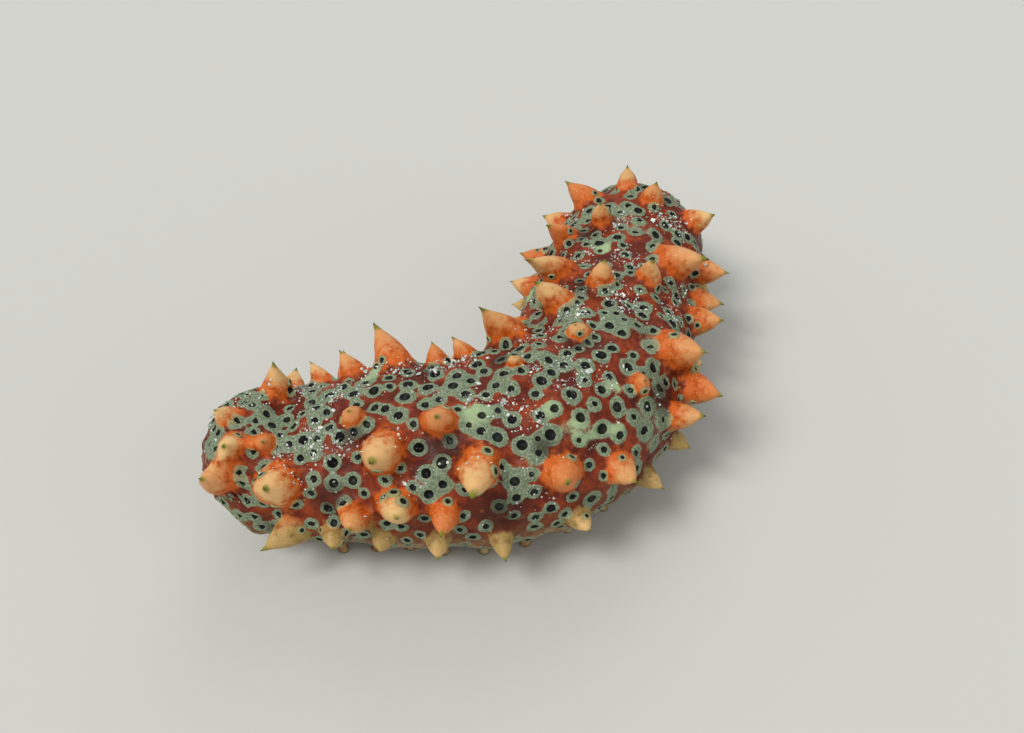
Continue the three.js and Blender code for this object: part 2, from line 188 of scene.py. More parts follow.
def tube_faces(rows: int, columns: int) -> list:
    """Lists a tube's quads, and closes each end with a fan from its ring's first point.

    Args:
        rows: how many rings there are.
        columns: how many points each ring has.

    Returns:
        The faces.
    """
    top = (rows - 1) * columns
    faces = grid_quads(rows, columns).tolist()
    faces += [[0, one + 1, one] for one in range(1, columns - 1)]
    return faces + [[top, top + one, top + one + 1] for one in range(1, columns - 1)]


def flipped(faces: list) -> list:
    """Turns faces round, to point the other way."""
    return [face[::-1] for face in faces]


def turned(radii: tuple[float, ...], levels: tuple[float, ...], sides: int) -> Array:
    """Turns a profile about the z axis.

    Args:
        radii: each ring's radius.
        levels: each ring's height.
        sides: how many points each ring has.

    Returns:
        A grid of points, one ring to a row: radius times cosine, radius times sine, height.
    """
    turn = circle(sides)
    radius = np.array(radii)[:, None]
    level = np.array(levels)[:, None] + 0.0 * turn
    return np.stack([radius * np.cos(turn), radius * np.sin(turn), level], axis=-1)


def turned_solid(radii: tuple, levels: tuple, ends: tuple[float, float], sides: int) -> Array:
    """Turns a profile about the z axis, with a middle point for each end.

    Args:
        radii: each ring's radius.
        levels: each ring's height.
        ends: the heights of the two middle points.
        sides: how many points each ring has.

    Returns:
        The points, in the order that capped_faces takes them.
    """
    middles = [[0.0, 0.0, level] for level in ends]
    return np.concatenate([turned(radii, levels, sides).reshape(-1, 3), middles])


def joined(shapes: list[tuple[Array, list]]) -> tuple[Array, list]:
    """Joins separate surfaces into one list of points and faces.

    Args:
        shapes: the points and the faces of each surface.

    Returns:
        All points, and all faces renumbered to fit them.
    """
    points = []
    faces = []
    offset = 0
    for shape_points, shape_faces in shapes:
        points.append(shape_points.reshape(-1, 3))
        faces += [[corner + offset for corner in face] for face in shape_faces]
        offset += len(points[-1])
    return np.concatenate(points), faces


def add_object(name: str, data: bpy.types.ID) -> Piece:
    """Puts a new object with this data into the scene, at the origin.

    Args:
        name: the object's name.
        data: its mesh, light or camera.

    Returns:
        The new object.
    """
    new = bpy.data.objects.new(name, data)
    bpy.context.scene.collection.objects.link(new)
    return new


def make_piece(
    name: str, points: Array, faces: list, rounded: bool = True, **values: Array
) -> Piece:
    """Puts a surface into the scene as an object at the origin.

    Args:
        name: the piece's name.
        points: the vertices, in millimetres.
        faces: lists of vertex numbers.
        rounded: whether the faces are shaded smooth.
        values: attributes that the finish reads, with one number for each vertex.

    Returns:
        The new object.
    """
    mesh = bpy.data.meshes.new(name)
    mesh.from_pydata((np.asarray(points).reshape(-1, 3) * MM).tolist(), [], faces)
    mesh.polygons.foreach_set("use_smooth", np.full(len(mesh.polygons), rounded))
    mesh.update()
    for key, numbers in values.items():
        layer = mesh.attributes.new(key, "FLOAT", "POINT")
        layer.data.foreach_set("value", np.asarray(numbers, np.float32).ravel())
    return add_object(name, mesh)


# ---- the trunk's form


@dataclass(frozen=True)
class Trunk:
    """The trunk's middle line, girth and flat sole, as in the solids."""

    length: float = 144.0
    start: tuple[float, float] = (-51.67, -29.58)
    bends: tuple[tuple[float, float, float], ...] = ((80.0, 39.0, 92.0), (-14.0, 96.0, 144.0))
    line_step: float = 0.5
    frame_step: float = 0.4
    stations: tuple[float, ...] = (0, 14, 34, 58, 82, 102, 124, 144)
    halves: tuple[float, ...] = (12.6, 14.2, 17.2, 18.8, 18.0, 17.0, 16.2, 14.2)
    height_share: float = 0.9
    belly_share: float = 0.83
    front_cap: float = 12.0
    rear_cap: float = 16.0
    cap_power: float = 2.2
    neck: tuple[float, float, float] = (15.5, 0.05, 2.6)
    foot_height: float = 1.4
    sole_sink: float = 0.1
    lift: tuple[float, float, float] = (4.5, 26.0, 1.6)
    least_stretch: float = 0.3

    def heading(self, s: Array) -> Array:
        """Gives the middle line's heading in radians at s."""
        return np.radians(sum(turn * smooth(s, low, high) for turn, low, high in self.bends))

    def line(self, s: Array) -> tuple[Array, Array]:
        """Gives the middle line's x and y at s.

        Args:
            s: places along the body.

        Returns:
            x and y, from the headings added up in small steps.
        """
        middles = np.arange(0.0, self.length, self.line_step) + self.line_step / 2.0
        heading = self.heading(middles)
        knots = np.concatenate([[0.0], middles + self.line_step / 2.0])
        x = np.concatenate([[0.0], np.cumsum(self.line_step * np.cos(heading))])
        y = np.concatenate([[0.0], np.cumsum(self.line_step * np.sin(heading))])
        return np.interp(s, knots, x) + self.start[0], np.interp(s, knots, y) + self.start[1]

    def plain_half(self, s: Array) -> Array:
        """Gives half the width at s, without the round ends.

        Args:
            s: places along the body.

        Returns:
            The widths between the stations, drawn in a little at the neck.
        """
        at, depth, reach = self.neck
        neck = 1.0 - depth * np.exp(-(((s - at) / reach) ** 2))
        return np.interp(s, self.stations, self.halves) * neck

    def cap_share(self, from_tip: Array, cap: float) -> Array:
        """Rises from 0 at a tip to 1 past its cap, as a rounded end."""
        inner = 1.0 - np.clip(from_tip / cap, 0.0, 1.0)
        return np.sqrt(1.0 - inner**self.cap_power)

    def half(self, s: Array) -> Array:
        """Gives half the width at s, with the round ends."""
        rear = self.cap_share(self.length - np.asarray(s, float), self.rear_cap)
        return self.plain_half(s) * self.cap_share(s, self.front_cap) * rear

    def lifted(self, s: Array) -> Array:
        """Gives how far the front end is lifted at s."""
        rise, over, power = self.lift
        return rise * np.clip(1.0 - np.asarray(s, float) / over, 0.0, 1.0) ** power

    def skin(self, s: Array, turn: Array) -> Array:
        """Gives points of the plain skin.

        Args:
            s: places along the body.
            turn: places round the body, in degrees.

        Returns:
            Points on an oval ring about the middle line, cut flat at the sole.
        """
        s = np.asarray(s, float)
        turn = np.asarray(turn, float)
        x, y = self.line(s)
        heading = self.heading(s)
        half = self.half(s)
        inside = np.clip(s, self.front_cap, self.length - self.rear_cap)
        belly = self.belly_share * self.plain_half(inside)
        middle = self.foot_height - self.sole_sink + belly + self.lifted(s)
        across = half * np.sin(np.radians(turn))
        rise = half * self.height_share * np.cos(np.radians(turn))
        z = np.maximum(middle + rise, self.foot_height + self.lifted(s))
        point = [x - across * np.sin(heading), y + across * np.cos(heading), z]
        return np.stack(np.broadcast_arrays(*point), axis=-1)

    def skin_frame(self, s: float, turn: float) -> tuple[Array, Array, Array]:
        """Gives the outward way, the way along and the way round at one place.

        Args:
            s: the place along the body.
            turn: the place round the body, in degrees.

        Returns:
            Three unit vectors.
        """
        step = self.frame_step
        along = unit(self.skin(s + step, turn) - self.skin(s - step, turn))
        around = unit(self.skin(s, turn + step) - self.skin(s, turn - step))
        return unit(np.cross(along, around)), along, around

    def stretch(self, s: float, turn: float) -> float:
        """Gives how much longer the skin is here than the middle line."""
        bend = (self.heading(s + 1.0) - self.heading(s - 1.0)) / 2.0
        return max(self.least_stretch, 1.0 - float(bend * self.half(s) * np.sin(np.radians(turn))))


@dataclass(frozen=True)
class Opening:
    """Where the mouth or the vent sits, and the way it faces."""

    s: float
    high: float
    tilt: float
    forwards: bool
    rim: float

    def frame(self, trunk: Trunk) -> tuple[Array, Array, Array, Array]:
        """Gives the opening's frame.

        Args:
            trunk: the trunk that carries the opening.

        Returns:
            Its centre, the way out, the way across and the way up.
        """
        x, y = trunk.line(self.s)
        heading = float(trunk.heading(self.s)) + (math.pi if self.forwards else 0.0)
        level = math.cos(math.radians(self.tilt))
        steep = math.sin(math.radians(self.tilt)) * (-1.0 if self.forwards else 1.0)
        out = np.array([level * math.cos(heading), level * math.sin(heading), steep])
        across = np.array([-math.sin(heading), math.cos(heading), 0.0])
        return np.array([float(x), float(y), self.high]), out, across, np.cross(out, across)

    def place(self, trunk: Trunk, x: Array, y: Array, z: Array) -> Array:
        """Carries points from the opening's own frame to the body's.

        Args:
            trunk: the trunk that carries the opening.
            x: distances across.
            y: distances up the face.
            z: distances outwards.

        Returns:
            The points.
        """
        centre, out, across, up = self.frame(trunk)
        x, y, z = np.broadcast_arrays(x, y, z)
        return centre + x[..., None] * across + y[..., None] * up + z[..., None] * out


MOUTH = Opening(s=5.6, high=10.4, tilt=58.0, forwards=True, rim=6.0)
VENT = Opening(s=141.8, high=18.2, tilt=14.0, forwards=False, rim=3.7)


@dataclass(frozen=True)
class Papilla:
    """One thorn-like papilla: its place, root radius, height and the lean of its tip."""

    s: float
    turn: float
    root: float
    high: float
    lean: float
    side: float


@dataclass(frozen=True)
class PapillaRow:
    """A row of papillae that fills a part of the body where none is placed one by one."""

    turn: float
    sway: float
    first: float
    last: float
    pitch: float
    high: float
    root: float
    lean: float
    seed: int


PLACED = tuple(Papilla(*one) for one in (
    (6, -62, 3.6, 8, -0.2, 0.35), (6, -4, 2.4, 4.5, 0, -0.4), (7.5, -32, 2.7, 5, -0.2, -0.25),
    (12.8, -27, 2.2, 3.8, 0.1, -0.3), (13.5, 26, 3, 7.5, 0.3, -0.45),
    (16.5, -58, 4.2, 8, -0.15, 0.15), (18, -98, 3.2, 6, 0.7, 0),
    (21.5, 41, 2.2, 4.6, 0.4, 0), (25.2, -96, 2.5, 4.6, -0.2, 0.2),
    (27.5, 40, 2.6, 5.6, 0.3, -0.1), (29, -14, 2.5, 4, -0.1, -0.25), (29.6, -79, 3, 6.5, -0.1, 0.2),
    (34.5, -38, 4.1, 8.5, 0.06, -0.4), (35, 42, 3.6, 8.6, 0.4, 0.2), (36.6, -71, 3.6, 7, -0.2, 0.1),
    (43.2, 33, 2.2, 4.6, 0.1, -0.1), (44, -22, 3.2, 5.5, 0, -0.3), (49, -50, 3.8, 9.5, 0.16, -0.5),
    (58.5, 8, 1.8, 3, 0.3, -0.4), (58.5, -63, 3.8, 6.5, 0.3, 0), (67.5, 44, 4, 9, 0.7, -0.4),
    (73, -44, 2.5, 3.6, 0.4, 0.3), (75, 4, 2.6, 3.6, 0.6, 0), (82, -49, 4.4, 9.5, 0.5, -0.2),
    (82, -79, 3.8, 8.5, 0.7, 0.3), (85.5, 28, 3.8, 8.5, 0.45, 0.1), (86, 62, 2, 3.8, 0.6, 0),
    (93, 5, 2.9, 6.5, 0.2, -0.2), (98, -26, 2.8, 6.5, 0.45, 0.35), (98.5, 34, 3.9, 9.5, 0.8, 0.2),
    (99.5, -76, 3.3, 7.5, 0.6, 0.3), (108, -40, 4.4, 9.5, 0.6, -0.3), (112, 40, 3, 6.8, 0.6, 0),
    (116, 16, 2.8, 6.5, 0.45, -0.25), (117.5, -73, 3.4, 8, 0.3, 0), (127.5, -12, 2.9, 5.8, 0.3, 0),
    (130, -50, 3.2, 7, 0.5, 0),
))

ROWS = (
    PapillaRow(43, 6, 50, 137, 11.5, 7, 3.1, 0.35, 2),
    PapillaRow(12, 7, 121, 138, 11, 5, 2.6, 0.3, 4),
    PapillaRow(-75, 4, 45, 137, 10.4, 6.6, 3.0, 0.1, 5),
    PapillaRow(75, 5, 14, 137, 11.2, 6.4, 2.9, 0.1, 6),
    PapillaRow(-102, 3, 34, 134, 8.8, 4.6, 2.4, 0, 7),
    PapillaRow(102, 4, 14.5, 134, 8.8, 4.6, 2.4, 0, 8),
)


@dataclass(frozen=True)
class PapillaPattern:
    """All papillae of the body, at the same places as in the solids.

    A play is how far a row's papillae differ: the least share, and how much a draw may add to it.
    """

    cuts: tuple[float, ...] = (0.0, 17.2, 40.5, 57.5, 78.0, 99.5, 122.0, 144.0)
    cut_clearance: float = 0.6
    row_room: float = 0.8
    crowded_share: float = 0.35
    place_play: float = 0.3
    root_play: tuple[float, float] = (0.9, 0.2)
    high_play: tuple[float, float] = (0.8, 0.4)
    lean_play: tuple[float, float] = (0.6, 0.8)
    side_play: float = 0.3

    def clear_of_cuts(self, trunk: Trunk, s: float, turn: float, root: float) -> float:
        """Moves a place along the body until a root stands clear of the cuts beside it.

        Args:
            trunk: the trunk.
            s: the wanted place.
            turn: its turn.
            root: the root's radius.

        Returns:
            The place that is clear.
        """
        last = len(self.cuts) - 2
        index = min(last, int(np.searchsorted(self.cuts, s, side="right")) - 1)
        reach = (root + self.cut_clearance) / trunk.stretch(s, turn)
        low = 0.0 if index == 0 else self.cuts[index] + reach
        high = trunk.length if index == last else self.cuts[index + 1] - reach
        return float(np.clip(s, low, high)) if low < high else (low + high) / 2.0

    def has_room(self, trunk: Trunk, one: Papilla, others: list[Papilla]) -> bool:
        """Says whether a root stands clear of all the others.

        Args:
            trunk: the trunk.
            one: the new papilla.
            others: those already there.

        Returns:
            True where no other root is close.
        """
        spots = trunk.skin([other.s for other in others], [other.turn for other in others])
        apart = np.linalg.norm(spots - trunk.skin(one.s, one.turn), axis=1)
        roots = np.array([other.root for other in others])
        return bool(np.all(apart > one.root + roots + self.row_room))

    def add_row(self, trunk: Trunk, row: PapillaRow, found: list[Papilla]) -> None:
        """Adds one row's papillae to those found.

        Args:
            trunk: the trunk.
            row: the row's sizes.
            found: the list that grows.
        """
        place = row.first
        index = 0
        while place < row.last:
            turn = row.turn + row.sway * (2.0 * float(draw(index, row.seed + 20)) - 1.0)
            room = min(1.0, trunk.stretch(place, turn))
            share = min(1.0, self.crowded_share + (1.0 - self.crowded_share) * room)
            wanted = place + self.place_play * (float(draw(index, row.seed + 40)) - 0.5) * row.pitch
            root = row.root * share * vary(*self.root_play, index, row.seed + 60)
            one = Papilla(
                s=self.clear_of_cuts(trunk, wanted, turn, root),
                turn=turn,
                root=root,
                high=row.high * share * vary(*self.high_play, index, row.seed),
                lean=row.lean * vary(*self.lean_play, index, row.seed + 80),
                side=self.side_play * (2.0 * float(draw(index, row.seed + 100)) - 1.0),
            )
            if self.has_room(trunk, one, found):
                found.append(one)
            place += row.pitch / room
            index += 1

    def papillae(self, trunk: Trunk) -> list[Papilla]:
        """Gives every papilla that stands clear of the mouth and the vent.

        Args:
            trunk: the trunk.

        Returns:
            The placed papillae, then those of the rows.
        """
        found = list(PLACED)
        for row in ROWS:
            self.add_row(trunk, row, found)
        for opening in (MOUTH, VENT):
            centre = opening.frame(trunk)[0]
            gaps = [np.linalg.norm(trunk.skin(one.s, one.turn) - centre) for one in found]
            found = [one for one, gap in zip(found, gaps) if gap - opening.rim > one.root]
        return found


@dataclass(frozen=True)
class Spot:
    """A soft round patch on the skin: its place and its radius."""

    s: float
    turn: float
    size: float


def patches(trunk: Trunk, base: Array, spots: tuple[Spot, ...]) -> Array:
    """Gives how far each point lies in any of several soft patches.

    Args:
        trunk: the trunk.
        base: the plain skin's points.
        spots: the patches.

    Returns:
        The largest of exp(-(distance / size)^2), 0 to 1.
    """
    found = np.zeros(base.shape[:-1])
    for spot in spots:
        apart = np.linalg.norm(base - trunk.skin(spot.s, spot.turn), axis=-1)
        found = np.maximum(found, np.exp(-((apart / spot.size) ** 2)))
    return found


MINT_SPOTS = tuple(Spot(*one) for one in (
    (49.5, -19, 3.2), (61.5, -42, 3.2), (63, -50, 2.8), (66.5, -54, 2.4), (59.5, -28, 2.0),
    (69.5, -34, 2.2), (31, 28, 2.4), (106, 8, 2.4), (60, 66, 2.6), (100, 70, 2.8),
))

# Dark patches beside the papillae: painted shadows that the papillae cast, partly dark pigment.
SHADOW_AND_PIGMENT_SPOTS = tuple(Spot(*one) for one in (
    (44, -33, 4.5), (57, -46, 2.5), (56.5, 18, 2.5), (72, 2, 3.4), (41.5, 21, 3.0),
    (99, -26, 4.2), (92, 15, 3.6), (28.5, -26, 3.0), (75, -62, 4.4), (25, -66, 4.0),
    (51, -82, 4.6), (112, 30, 4.0), (80, 62, 4.4), (40, 70, 4.4),
))

SAND_SPOTS = tuple(Spot(*one) for one in (
    (21.5, -11, 3.0), (21.5, -30, 3.0), (16, -36, 2.6), (17.5, 27, 3.0), (25.5, 8, 2.6),
    (19.5, -55, 2.0), (36, -32, 1.6), (30, 8, 2.0), (50, -9, 1.8), (54, -20, 1.8),
    (60.5, 1, 2.2), (65.5, -17, 3.0), (67.5, -7, 2.6), (69.5, -26, 2.2), (57.5, -29, 1.8),
    (50.5, -46, 1.4), (63, -56, 1.4), (47, 30, 3.0), (93, -1, 2.6), (88, -14, 3.0),
    (81, 16, 2.6), (103.5, -58, 2.6), (92, -50, 2.4), (116.5, 6, 3.0), (103, 24, 2.2),
    (124, -40, 2.6),
))


# ---- finishes


class Nodes:
    """A short way to add and link shader nodes in one tree."""

    def __init__(self, tree: bpy.types.NodeTree) -> None:
        """Keeps the tree that takes the nodes."""
        self.tree = tree

    def add(self, kind: str, **values: object) -> bpy.types.Node:
        """Adds one node.

        Args:
            kind: the node's type name, without its ShaderNode prefix.
            values: properties of the node, by name.

        Returns:
            The new node.
        """
        node = self.tree.nodes.new("ShaderNode" + kind)
        for name, value in values.items():
            setattr(node, name, value)
        return node

    def feed(self, target: Socket, value: object) -> None:
        """Links a socket to an input, or writes a plain value there.

        Args:
            target: the input.
            value: an output socket, a number or a colour.
        """
        if isinstance(value, Socket):
            self.tree.links.new(value, target)
        else:
            target.default_value = value

    def math(self, operation: str, *values: object) -> Socket:
        """Adds a Math node.

        Args:
            operation: its operation.
            values: its inputs' values, in order.

        Returns:
            Its output.
        """
        node = self.add("Math", operation=operation)
        for target, value in zip(node.inputs, values):
            self.feed(target, value)
        return node.outputs[0]

    def times(self, first: object, second: object) -> Socket:
        """Multiplies two numbers."""
        return self.math("MULTIPLY", first, second)

    def ramp(self, value: object, low: float, high: float) -> Socket:
        """Adds a smooth step from 0 at low to 1 at high, which may be the lower number.

        Args:
            value: the number to read.
            low: where the step starts.
            high: where the step ends.

        Returns:
            The step's output.
        """
        node = self.add("MapRange", interpolation_type="SMOOTHSTEP")
        self.feed(node.inputs["Value"], value)
        node.inputs["From Min"].default_value = min(low, high)
        node.inputs["From Max"].default_value = max(low, high)
        node.inputs["To Min"].default_value = float(low > high)
        node.inputs["To Max"].default_value = float(low < high)
        return node.outputs["Result"]

    def mix(self, share: object, first: object, second: object, most: float = 1.0) -> Socket:
        """Mixes two colours.

        Args:
            share: how far the second colour shows, from 0 to 1.
            first: the first colour.
            second: the second colour.
            most: how much of the second colour shows where the share is 1.

        Returns:
            The mixed colour.
        """
        node = self.add("Mix", data_type="RGBA", blend_type="MIX")
        self.feed(node.inputs["Factor"], share if most == 1.0 else self.times(share, most))
        self.feed(node.inputs["A"], first)
        self.feed(node.inputs["B"], second)
        return node.outputs["Result"]

    def noise(self, scale: float, detail: float, offset: float = 0.0) -> Socket:
        """Adds noise on Object coordinates.

        Args:
            scale: how many waves there are in a millimetre.
            detail: how many finer layers are added.
            offset: how far the pattern is moved, in millimetres, so that two differ.

        Returns:
            The noise, about 0 to 1.
        """
        mapping = self.add("Mapping")
        mapping.inputs["Scale"].default_value = (1.0 / MM,) * 3
        mapping.inputs["Location"].default_value = (offset,) * 3
        self.feed(mapping.inputs["Vector"], self.add("TexCoord").outputs["Object"])
        node = self.add("TexNoise")
        node.inputs["Scale"].default_value = scale
        node.inputs["Detail"].default_value = detail
        self.feed(node.inputs["Vector"], mapping.outputs["Vector"])
        return node.outputs["Fac"]

    def shift(self, value: object, noise: object, amount: float) -> Socket:
        """Makes a number uneven.

        Args:
            value: the number.
            noise: noise from 0 to 1.
            amount: how much the number differs between noise of 0 and noise of 1.

        Returns:
            value + amount (noise - 0.5).
        """
        return self.math("ADD", value, self.times(self.math("SUBTRACT", noise, 0.5), amount))

    def attribute(self, name: str) -> Socket:
        """Gives the output of a named mesh attribute."""
        return self.add("Attribute", attribute_name=name).outputs["Fac"]


def colour(red: float, green: float, blue: float) -> tuple[float, float, float, float]:
    """Turns screen values from 0 to 1 into the linear colour that a shader takes.

    Args:
        red: the red value.
        green: the green value.
        blue: the blue value.

    Returns:
        The linear colour with full alpha.
    """
    values = np.array([red, green, blue])
    linear = np.where(values <= 0.04045, values / 12.92, ((values + 0.055) / 1.055) ** 2.4)
    return (*linear.tolist(), 1.0)


def new_material(name: str) -> tuple[bpy.types.Material, Nodes, bpy.types.Node]:
    """Makes a material.

    Args:
        name: the material's name.

    Returns:
        The material, its nodes and its Principled BSDF.
    """
    material = bpy.data.materials.new(name)
    material.use_nodes = True
    return material, Nodes(material.node_tree), material.node_tree.nodes["Principled BSDF"]


def wet_grain_group() -> bpy.types.NodeTree:
    """Makes the effect that all the flesh shares: fine grain, and a film of water of uneven gloss.

    Returns:
        A node group with Grain and Dullness in, and Height and Roughness out.
    """
    tree = bpy.data.node_groups.new("wet_grain", "ShaderNodeTree")
    for way, names in (("INPUT", ("Grain", "Dullness")), ("OUTPUT", ("Height", "Roughness"))):
        for name in names:
            tree.interface.new_socket(name, in_out=way, socket_type="NodeSocketFloat")
    nodes = Nodes(tree)
    inside = tree.nodes.new("NodeGroupInput")
    outside = tree.nodes.new("NodeGroupOutput")
    both = nodes.math("ADD", nodes.noise(1.1, 3.0), nodes.noise(4.5, 2.0, offset=31.0))
    film = nodes.ramp(nodes.noise(0.35, 2.0, offset=77.0), 0.35, 0.65)
    dull = nodes.math("MULTIPLY_ADD", film, 0.16, inside.outputs["Dullness"])
    nodes.feed(outside.inputs["Height"], nodes.times(both, inside.outputs["Grain"]))
    nodes.feed(outside.inputs["Roughness"], dull)
    return tree


@dataclass(frozen=True)
class FleshFinish:
    """What every flesh finish has: gloss, softness and grain."""

    name: str
    dullness: float = 0.5
    specular: float = 0.28
    coat: float = 0.03
    coat_roughness: float = 0.24
    softness: float = 0.10
    reach: tuple[float, float, float] = (1.2, 0.7, 0.4)
    grain: float = 0.5
    grain_height: float = 0.2
    grain_strength: float = 0.6

    def start(self, group: bpy.types.NodeTree) -> tuple[bpy.types.Material, Nodes, bpy.types.Node]:
        """Makes the material with its shader, grain and gloss.

        Args:
            group: the shared wet grain group.

        Returns:
            The material, its nodes and its Principled BSDF.
        """
        material, nodes, shader = new_material(self.name)
        for name, value in {
            "Specular IOR Level": self.specular,
            "Coat Weight": self.coat,
            "Coat Roughness": self.coat_roughness,
            "Subsurface Weight": self.softness,
            "Subsurface Radius": [one * MM for one in self.reach],
            "Subsurface Scale": 1.0,
        }.items():
            shader.inputs[name].default_value = value
        wet = nodes.add("Group", node_tree=group, name="wet_grain")
        wet.inputs["Grain"].default_value = self.grain
        wet.inputs["Dullness"].default_value = self.dullness
        bump = nodes.add("Bump", name="bump")
        bump.inputs["Distance"].default_value = self.grain_height * MM
        bump.inputs["Strength"].default_value = self.grain_strength
        nodes.feed(bump.inputs["Height"], wet.outputs["Height"])
        nodes.feed(shader.inputs["Roughness"], wet.outputs["Roughness"])
        nodes.feed(shader.inputs["Normal"], bump.outputs["Normal"])
        return material, nodes, shader


@dataclass(frozen=True)
class SkinFinish(FleshFinish):
    """The rust-red back with grey-green rings round pits whose dark hollows are painted shade, and
    orange papillae.
    """

    rust: tuple = colour(0.43, 0.125, 0.035)
    orange: tuple = colour(0.60, 0.225, 0.05)
    # deep serves both the dark mottling and the painted shade in the fold valleys.
    deep: tuple = colour(0.26, 0.07, 0.03)
    # The colour of the painted shadows, partly dark pigment, in the dark patches.
    shade: tuple = colour(0.15, 0.05, 0.025)
    papilla: tuple = colour(0.82, 0.38, 0.09)
    low_papilla: tuple = colour(0.63, 0.52, 0.29)
    # cream paints the pale patch half way up the papillae, partly pale flesh and partly a painted
    # highlight, and the fine pale speckles.
    cream: tuple = colour(0.89, 0.73, 0.49)
    tip: tuple = colour(0.49, 0.49, 0.14)
    thread: tuple = colour(0.20, 0.23, 0.08)
    ring: tuple = colour(0.39, 0.46, 0.37)
    ring_light: tuple = colour(0.55, 0.62, 0.50)
    ring_edge: tuple = colour(0.62, 0.69, 0.56)
    ring_warm: tuple = colour(0.74, 0.66, 0.46)
    mint: tuple = colour(0.68, 0.78, 0.59)
    # pit and pit_olive are painted shade in the pits' hollows: near black, and olive beside the
    # pale patches and on the papillae.
    pit: tuple = colour(0.012, 0.022, 0.018)
    pit_olive: tuple = colour(0.10, 0.12, 0.04)
    bud: tuple = colour(0.17, 0.22, 0.18)
    flank: tuple = colour(0.46, 0.25, 0.12)
    sole: tuple = colour(0.66, 0.53, 0.37)

    def flesh(self, nodes: Nodes, mottle: Socket) -> Socket:
        """Colours the skin between the pits.

        Args:
            nodes: the material's nodes.
            mottle: noise of middle size.

        Returns:
            Rust in clouds of orange, with painted shade in the fold valleys and painted shadows,
            partly dark pigment, in the dark patches, paler below.
        """
        cloud = nodes.noise(0.2, 3.0, offset=12.0)
        base = nodes.mix(nodes.ramp(cloud, 0.38, 0.64), self.rust, self.orange)
        base = nodes.mix(nodes.ramp(mottle, 0.58, 0.36), base, self.deep, most=0.5)
        # Painted shade: the valleys of the folds are darkened with the deep colour.
        base = nodes.mix(nodes.attribute("fold"), base, self.deep, most=0.55)
        side = nodes.shift(nodes.shift(nodes.attribute("belly"), mottle, 0.8), cloud, 0.9)
        base = nodes.mix(nodes.ramp(side, 0.1, 0.8), base, self.flank)
        base = nodes.mix(nodes.ramp(side, 0.6, 1.3), base, self.sole)
        # Painted shadow, partly dark pigment: the dark patches darken the skin.
        dark = nodes.ramp(nodes.shift(nodes.attribute("shade"), mottle, 0.5), 0.15, 0.85)
        return nodes.mix(dark, base, self.shade, most=0.7)

    def on_papillae(self, nodes: Nodes, base: Socket, mottle: Socket, fine: Socket) -> Socket:
        """Colours the papillae: orange from the root up, a pale patch half way that is partly a
        painted highlight, a green tip.

        Args:
            nodes: the material's nodes.
            base: the skin's colour.
            mottle: noise of middle size.
            fine: noise of small size.

        Returns:
            The colour with the papillae in it.
        """
        height = nodes.attribute("papilla")
        low = nodes.ramp(nodes.attribute("belly"), 0.02, 0.3)
        flesh = nodes.mix(low, self.papilla, self.low_papilla)
        base = nodes.mix(nodes.ramp(nodes.shift(height, mottle, 0.35), 0.02, 0.2), base, flesh)
        # Pale cream patch half way up each papilla: partly pale flesh, partly a painted highlight.
        cloudy = nodes.shift(nodes.shift(height, mottle, 0.8), fine, 0.3)
        patch = nodes.times(nodes.ramp(cloudy, 0.22, 0.72), nodes.attribute("cream"))
        base = nodes.mix(patch, base, self.cream)
        speckle = nodes.times(nodes.ramp(fine, 0.58, 0.72), nodes.ramp(height, 0.05, 0.3))
        base = nodes.mix(speckle, base, self.cream, most=0.45)
        blush = nodes.times(nodes.ramp(mottle, 0.5, 0.28), nodes.ramp(height, 0.7, 0.25))
        blush = nodes.times(blush, nodes.ramp(height, 0.02, 0.1))
        base = nodes.mix(blush, base, self.rust, most=0.55)
        base = nodes.mix(nodes.ramp(nodes.shift(height, mottle, 0.1), 0.79, 0.92), base, self.tip)
        return nodes.mix(nodes.ramp(height, 0.93, 0.985), base, self.thread)

    def on_rings(self, nodes: Nodes, base: Socket, mottle: Socket, fine: Socket) -> Socket:
        """Draws the pits of the drawn-in feet, in grey-green rings that run together.

        Args:
            nodes: the material's nodes.
            base: the colour so far.
            mottle: noise of middle size.
            fine: noise of small size.

        Returns:
            The finished colour.
        """
        edge = nodes.attribute("pit_edge")
        mint = nodes.attribute("mint")
        height = nodes.attribute("papilla")
        level = nodes.shift(nodes.shift(nodes.attribute("ring"), fine, 0.2), mottle, 0.36)
        tone = nodes.mix(nodes.ramp(fine, 0.4, 0.66), self.ring, self.ring_light)
        tone = nodes.mix(nodes.ramp(level, 0.72, 0.44), tone, self.ring_edge, most=0.34)
        tone = nodes.mix(nodes.ramp(edge, 0.3, 0.08), tone, self.ring_edge, most=0.4)
        tone = nodes.mix(nodes.ramp(height, 0.04, 0.3), tone, self.ring_warm)
        pale = nodes.ramp(nodes.shift(mint, mottle, 0.9), 0.2, 1.1)
        tone = nodes.mix(pale, tone, self.mint, most=0.85)
        # Painted shadow, partly dark pigment: the dark patches darken the rings too.
        tone = nodes.mix(nodes.ramp(nodes.attribute("shade"), 0.3, 1.0), tone, self.shade, most=0.7)
        base = nodes.mix(nodes.ramp(level, 0.33, 0.53), base, tone, most=0.94)
        # Painted shade in the pits' hollows, olive near the pale patches and on the papillae, with
        # a pale bud in some.
        warm = nodes.ramp(nodes.math("ADD", mint, height), 0.2, 0.6)
        hollow = nodes.mix(warm, self.pit, self.pit_olive)
        hollow = nodes.mix(nodes.attribute("bud"), hollow, self.bud)
        return nodes.mix(nodes.ramp(nodes.shift(edge, fine, 0.12), 0.09, -0.05), base, hollow)

    def build(self, group: bpy.types.NodeTree) -> bpy.types.Material:
        """Makes the material.

        Args:
            group: the shared wet grain group.

        Returns:
            The skin's material, which reads the skin's attributes.
        """
        material, nodes, shader = self.start(group)
        mottle = nodes.noise(0.75, 3.0, offset=45.0)
        fine = nodes.noise(2.6, 2.0, offset=5.0)
        base = self.on_papillae(nodes, self.flesh(nodes, mottle), mottle, fine)
        nodes.feed(shader.inputs["Base Color"], self.on_rings(nodes, base, mottle, fine))
        return material


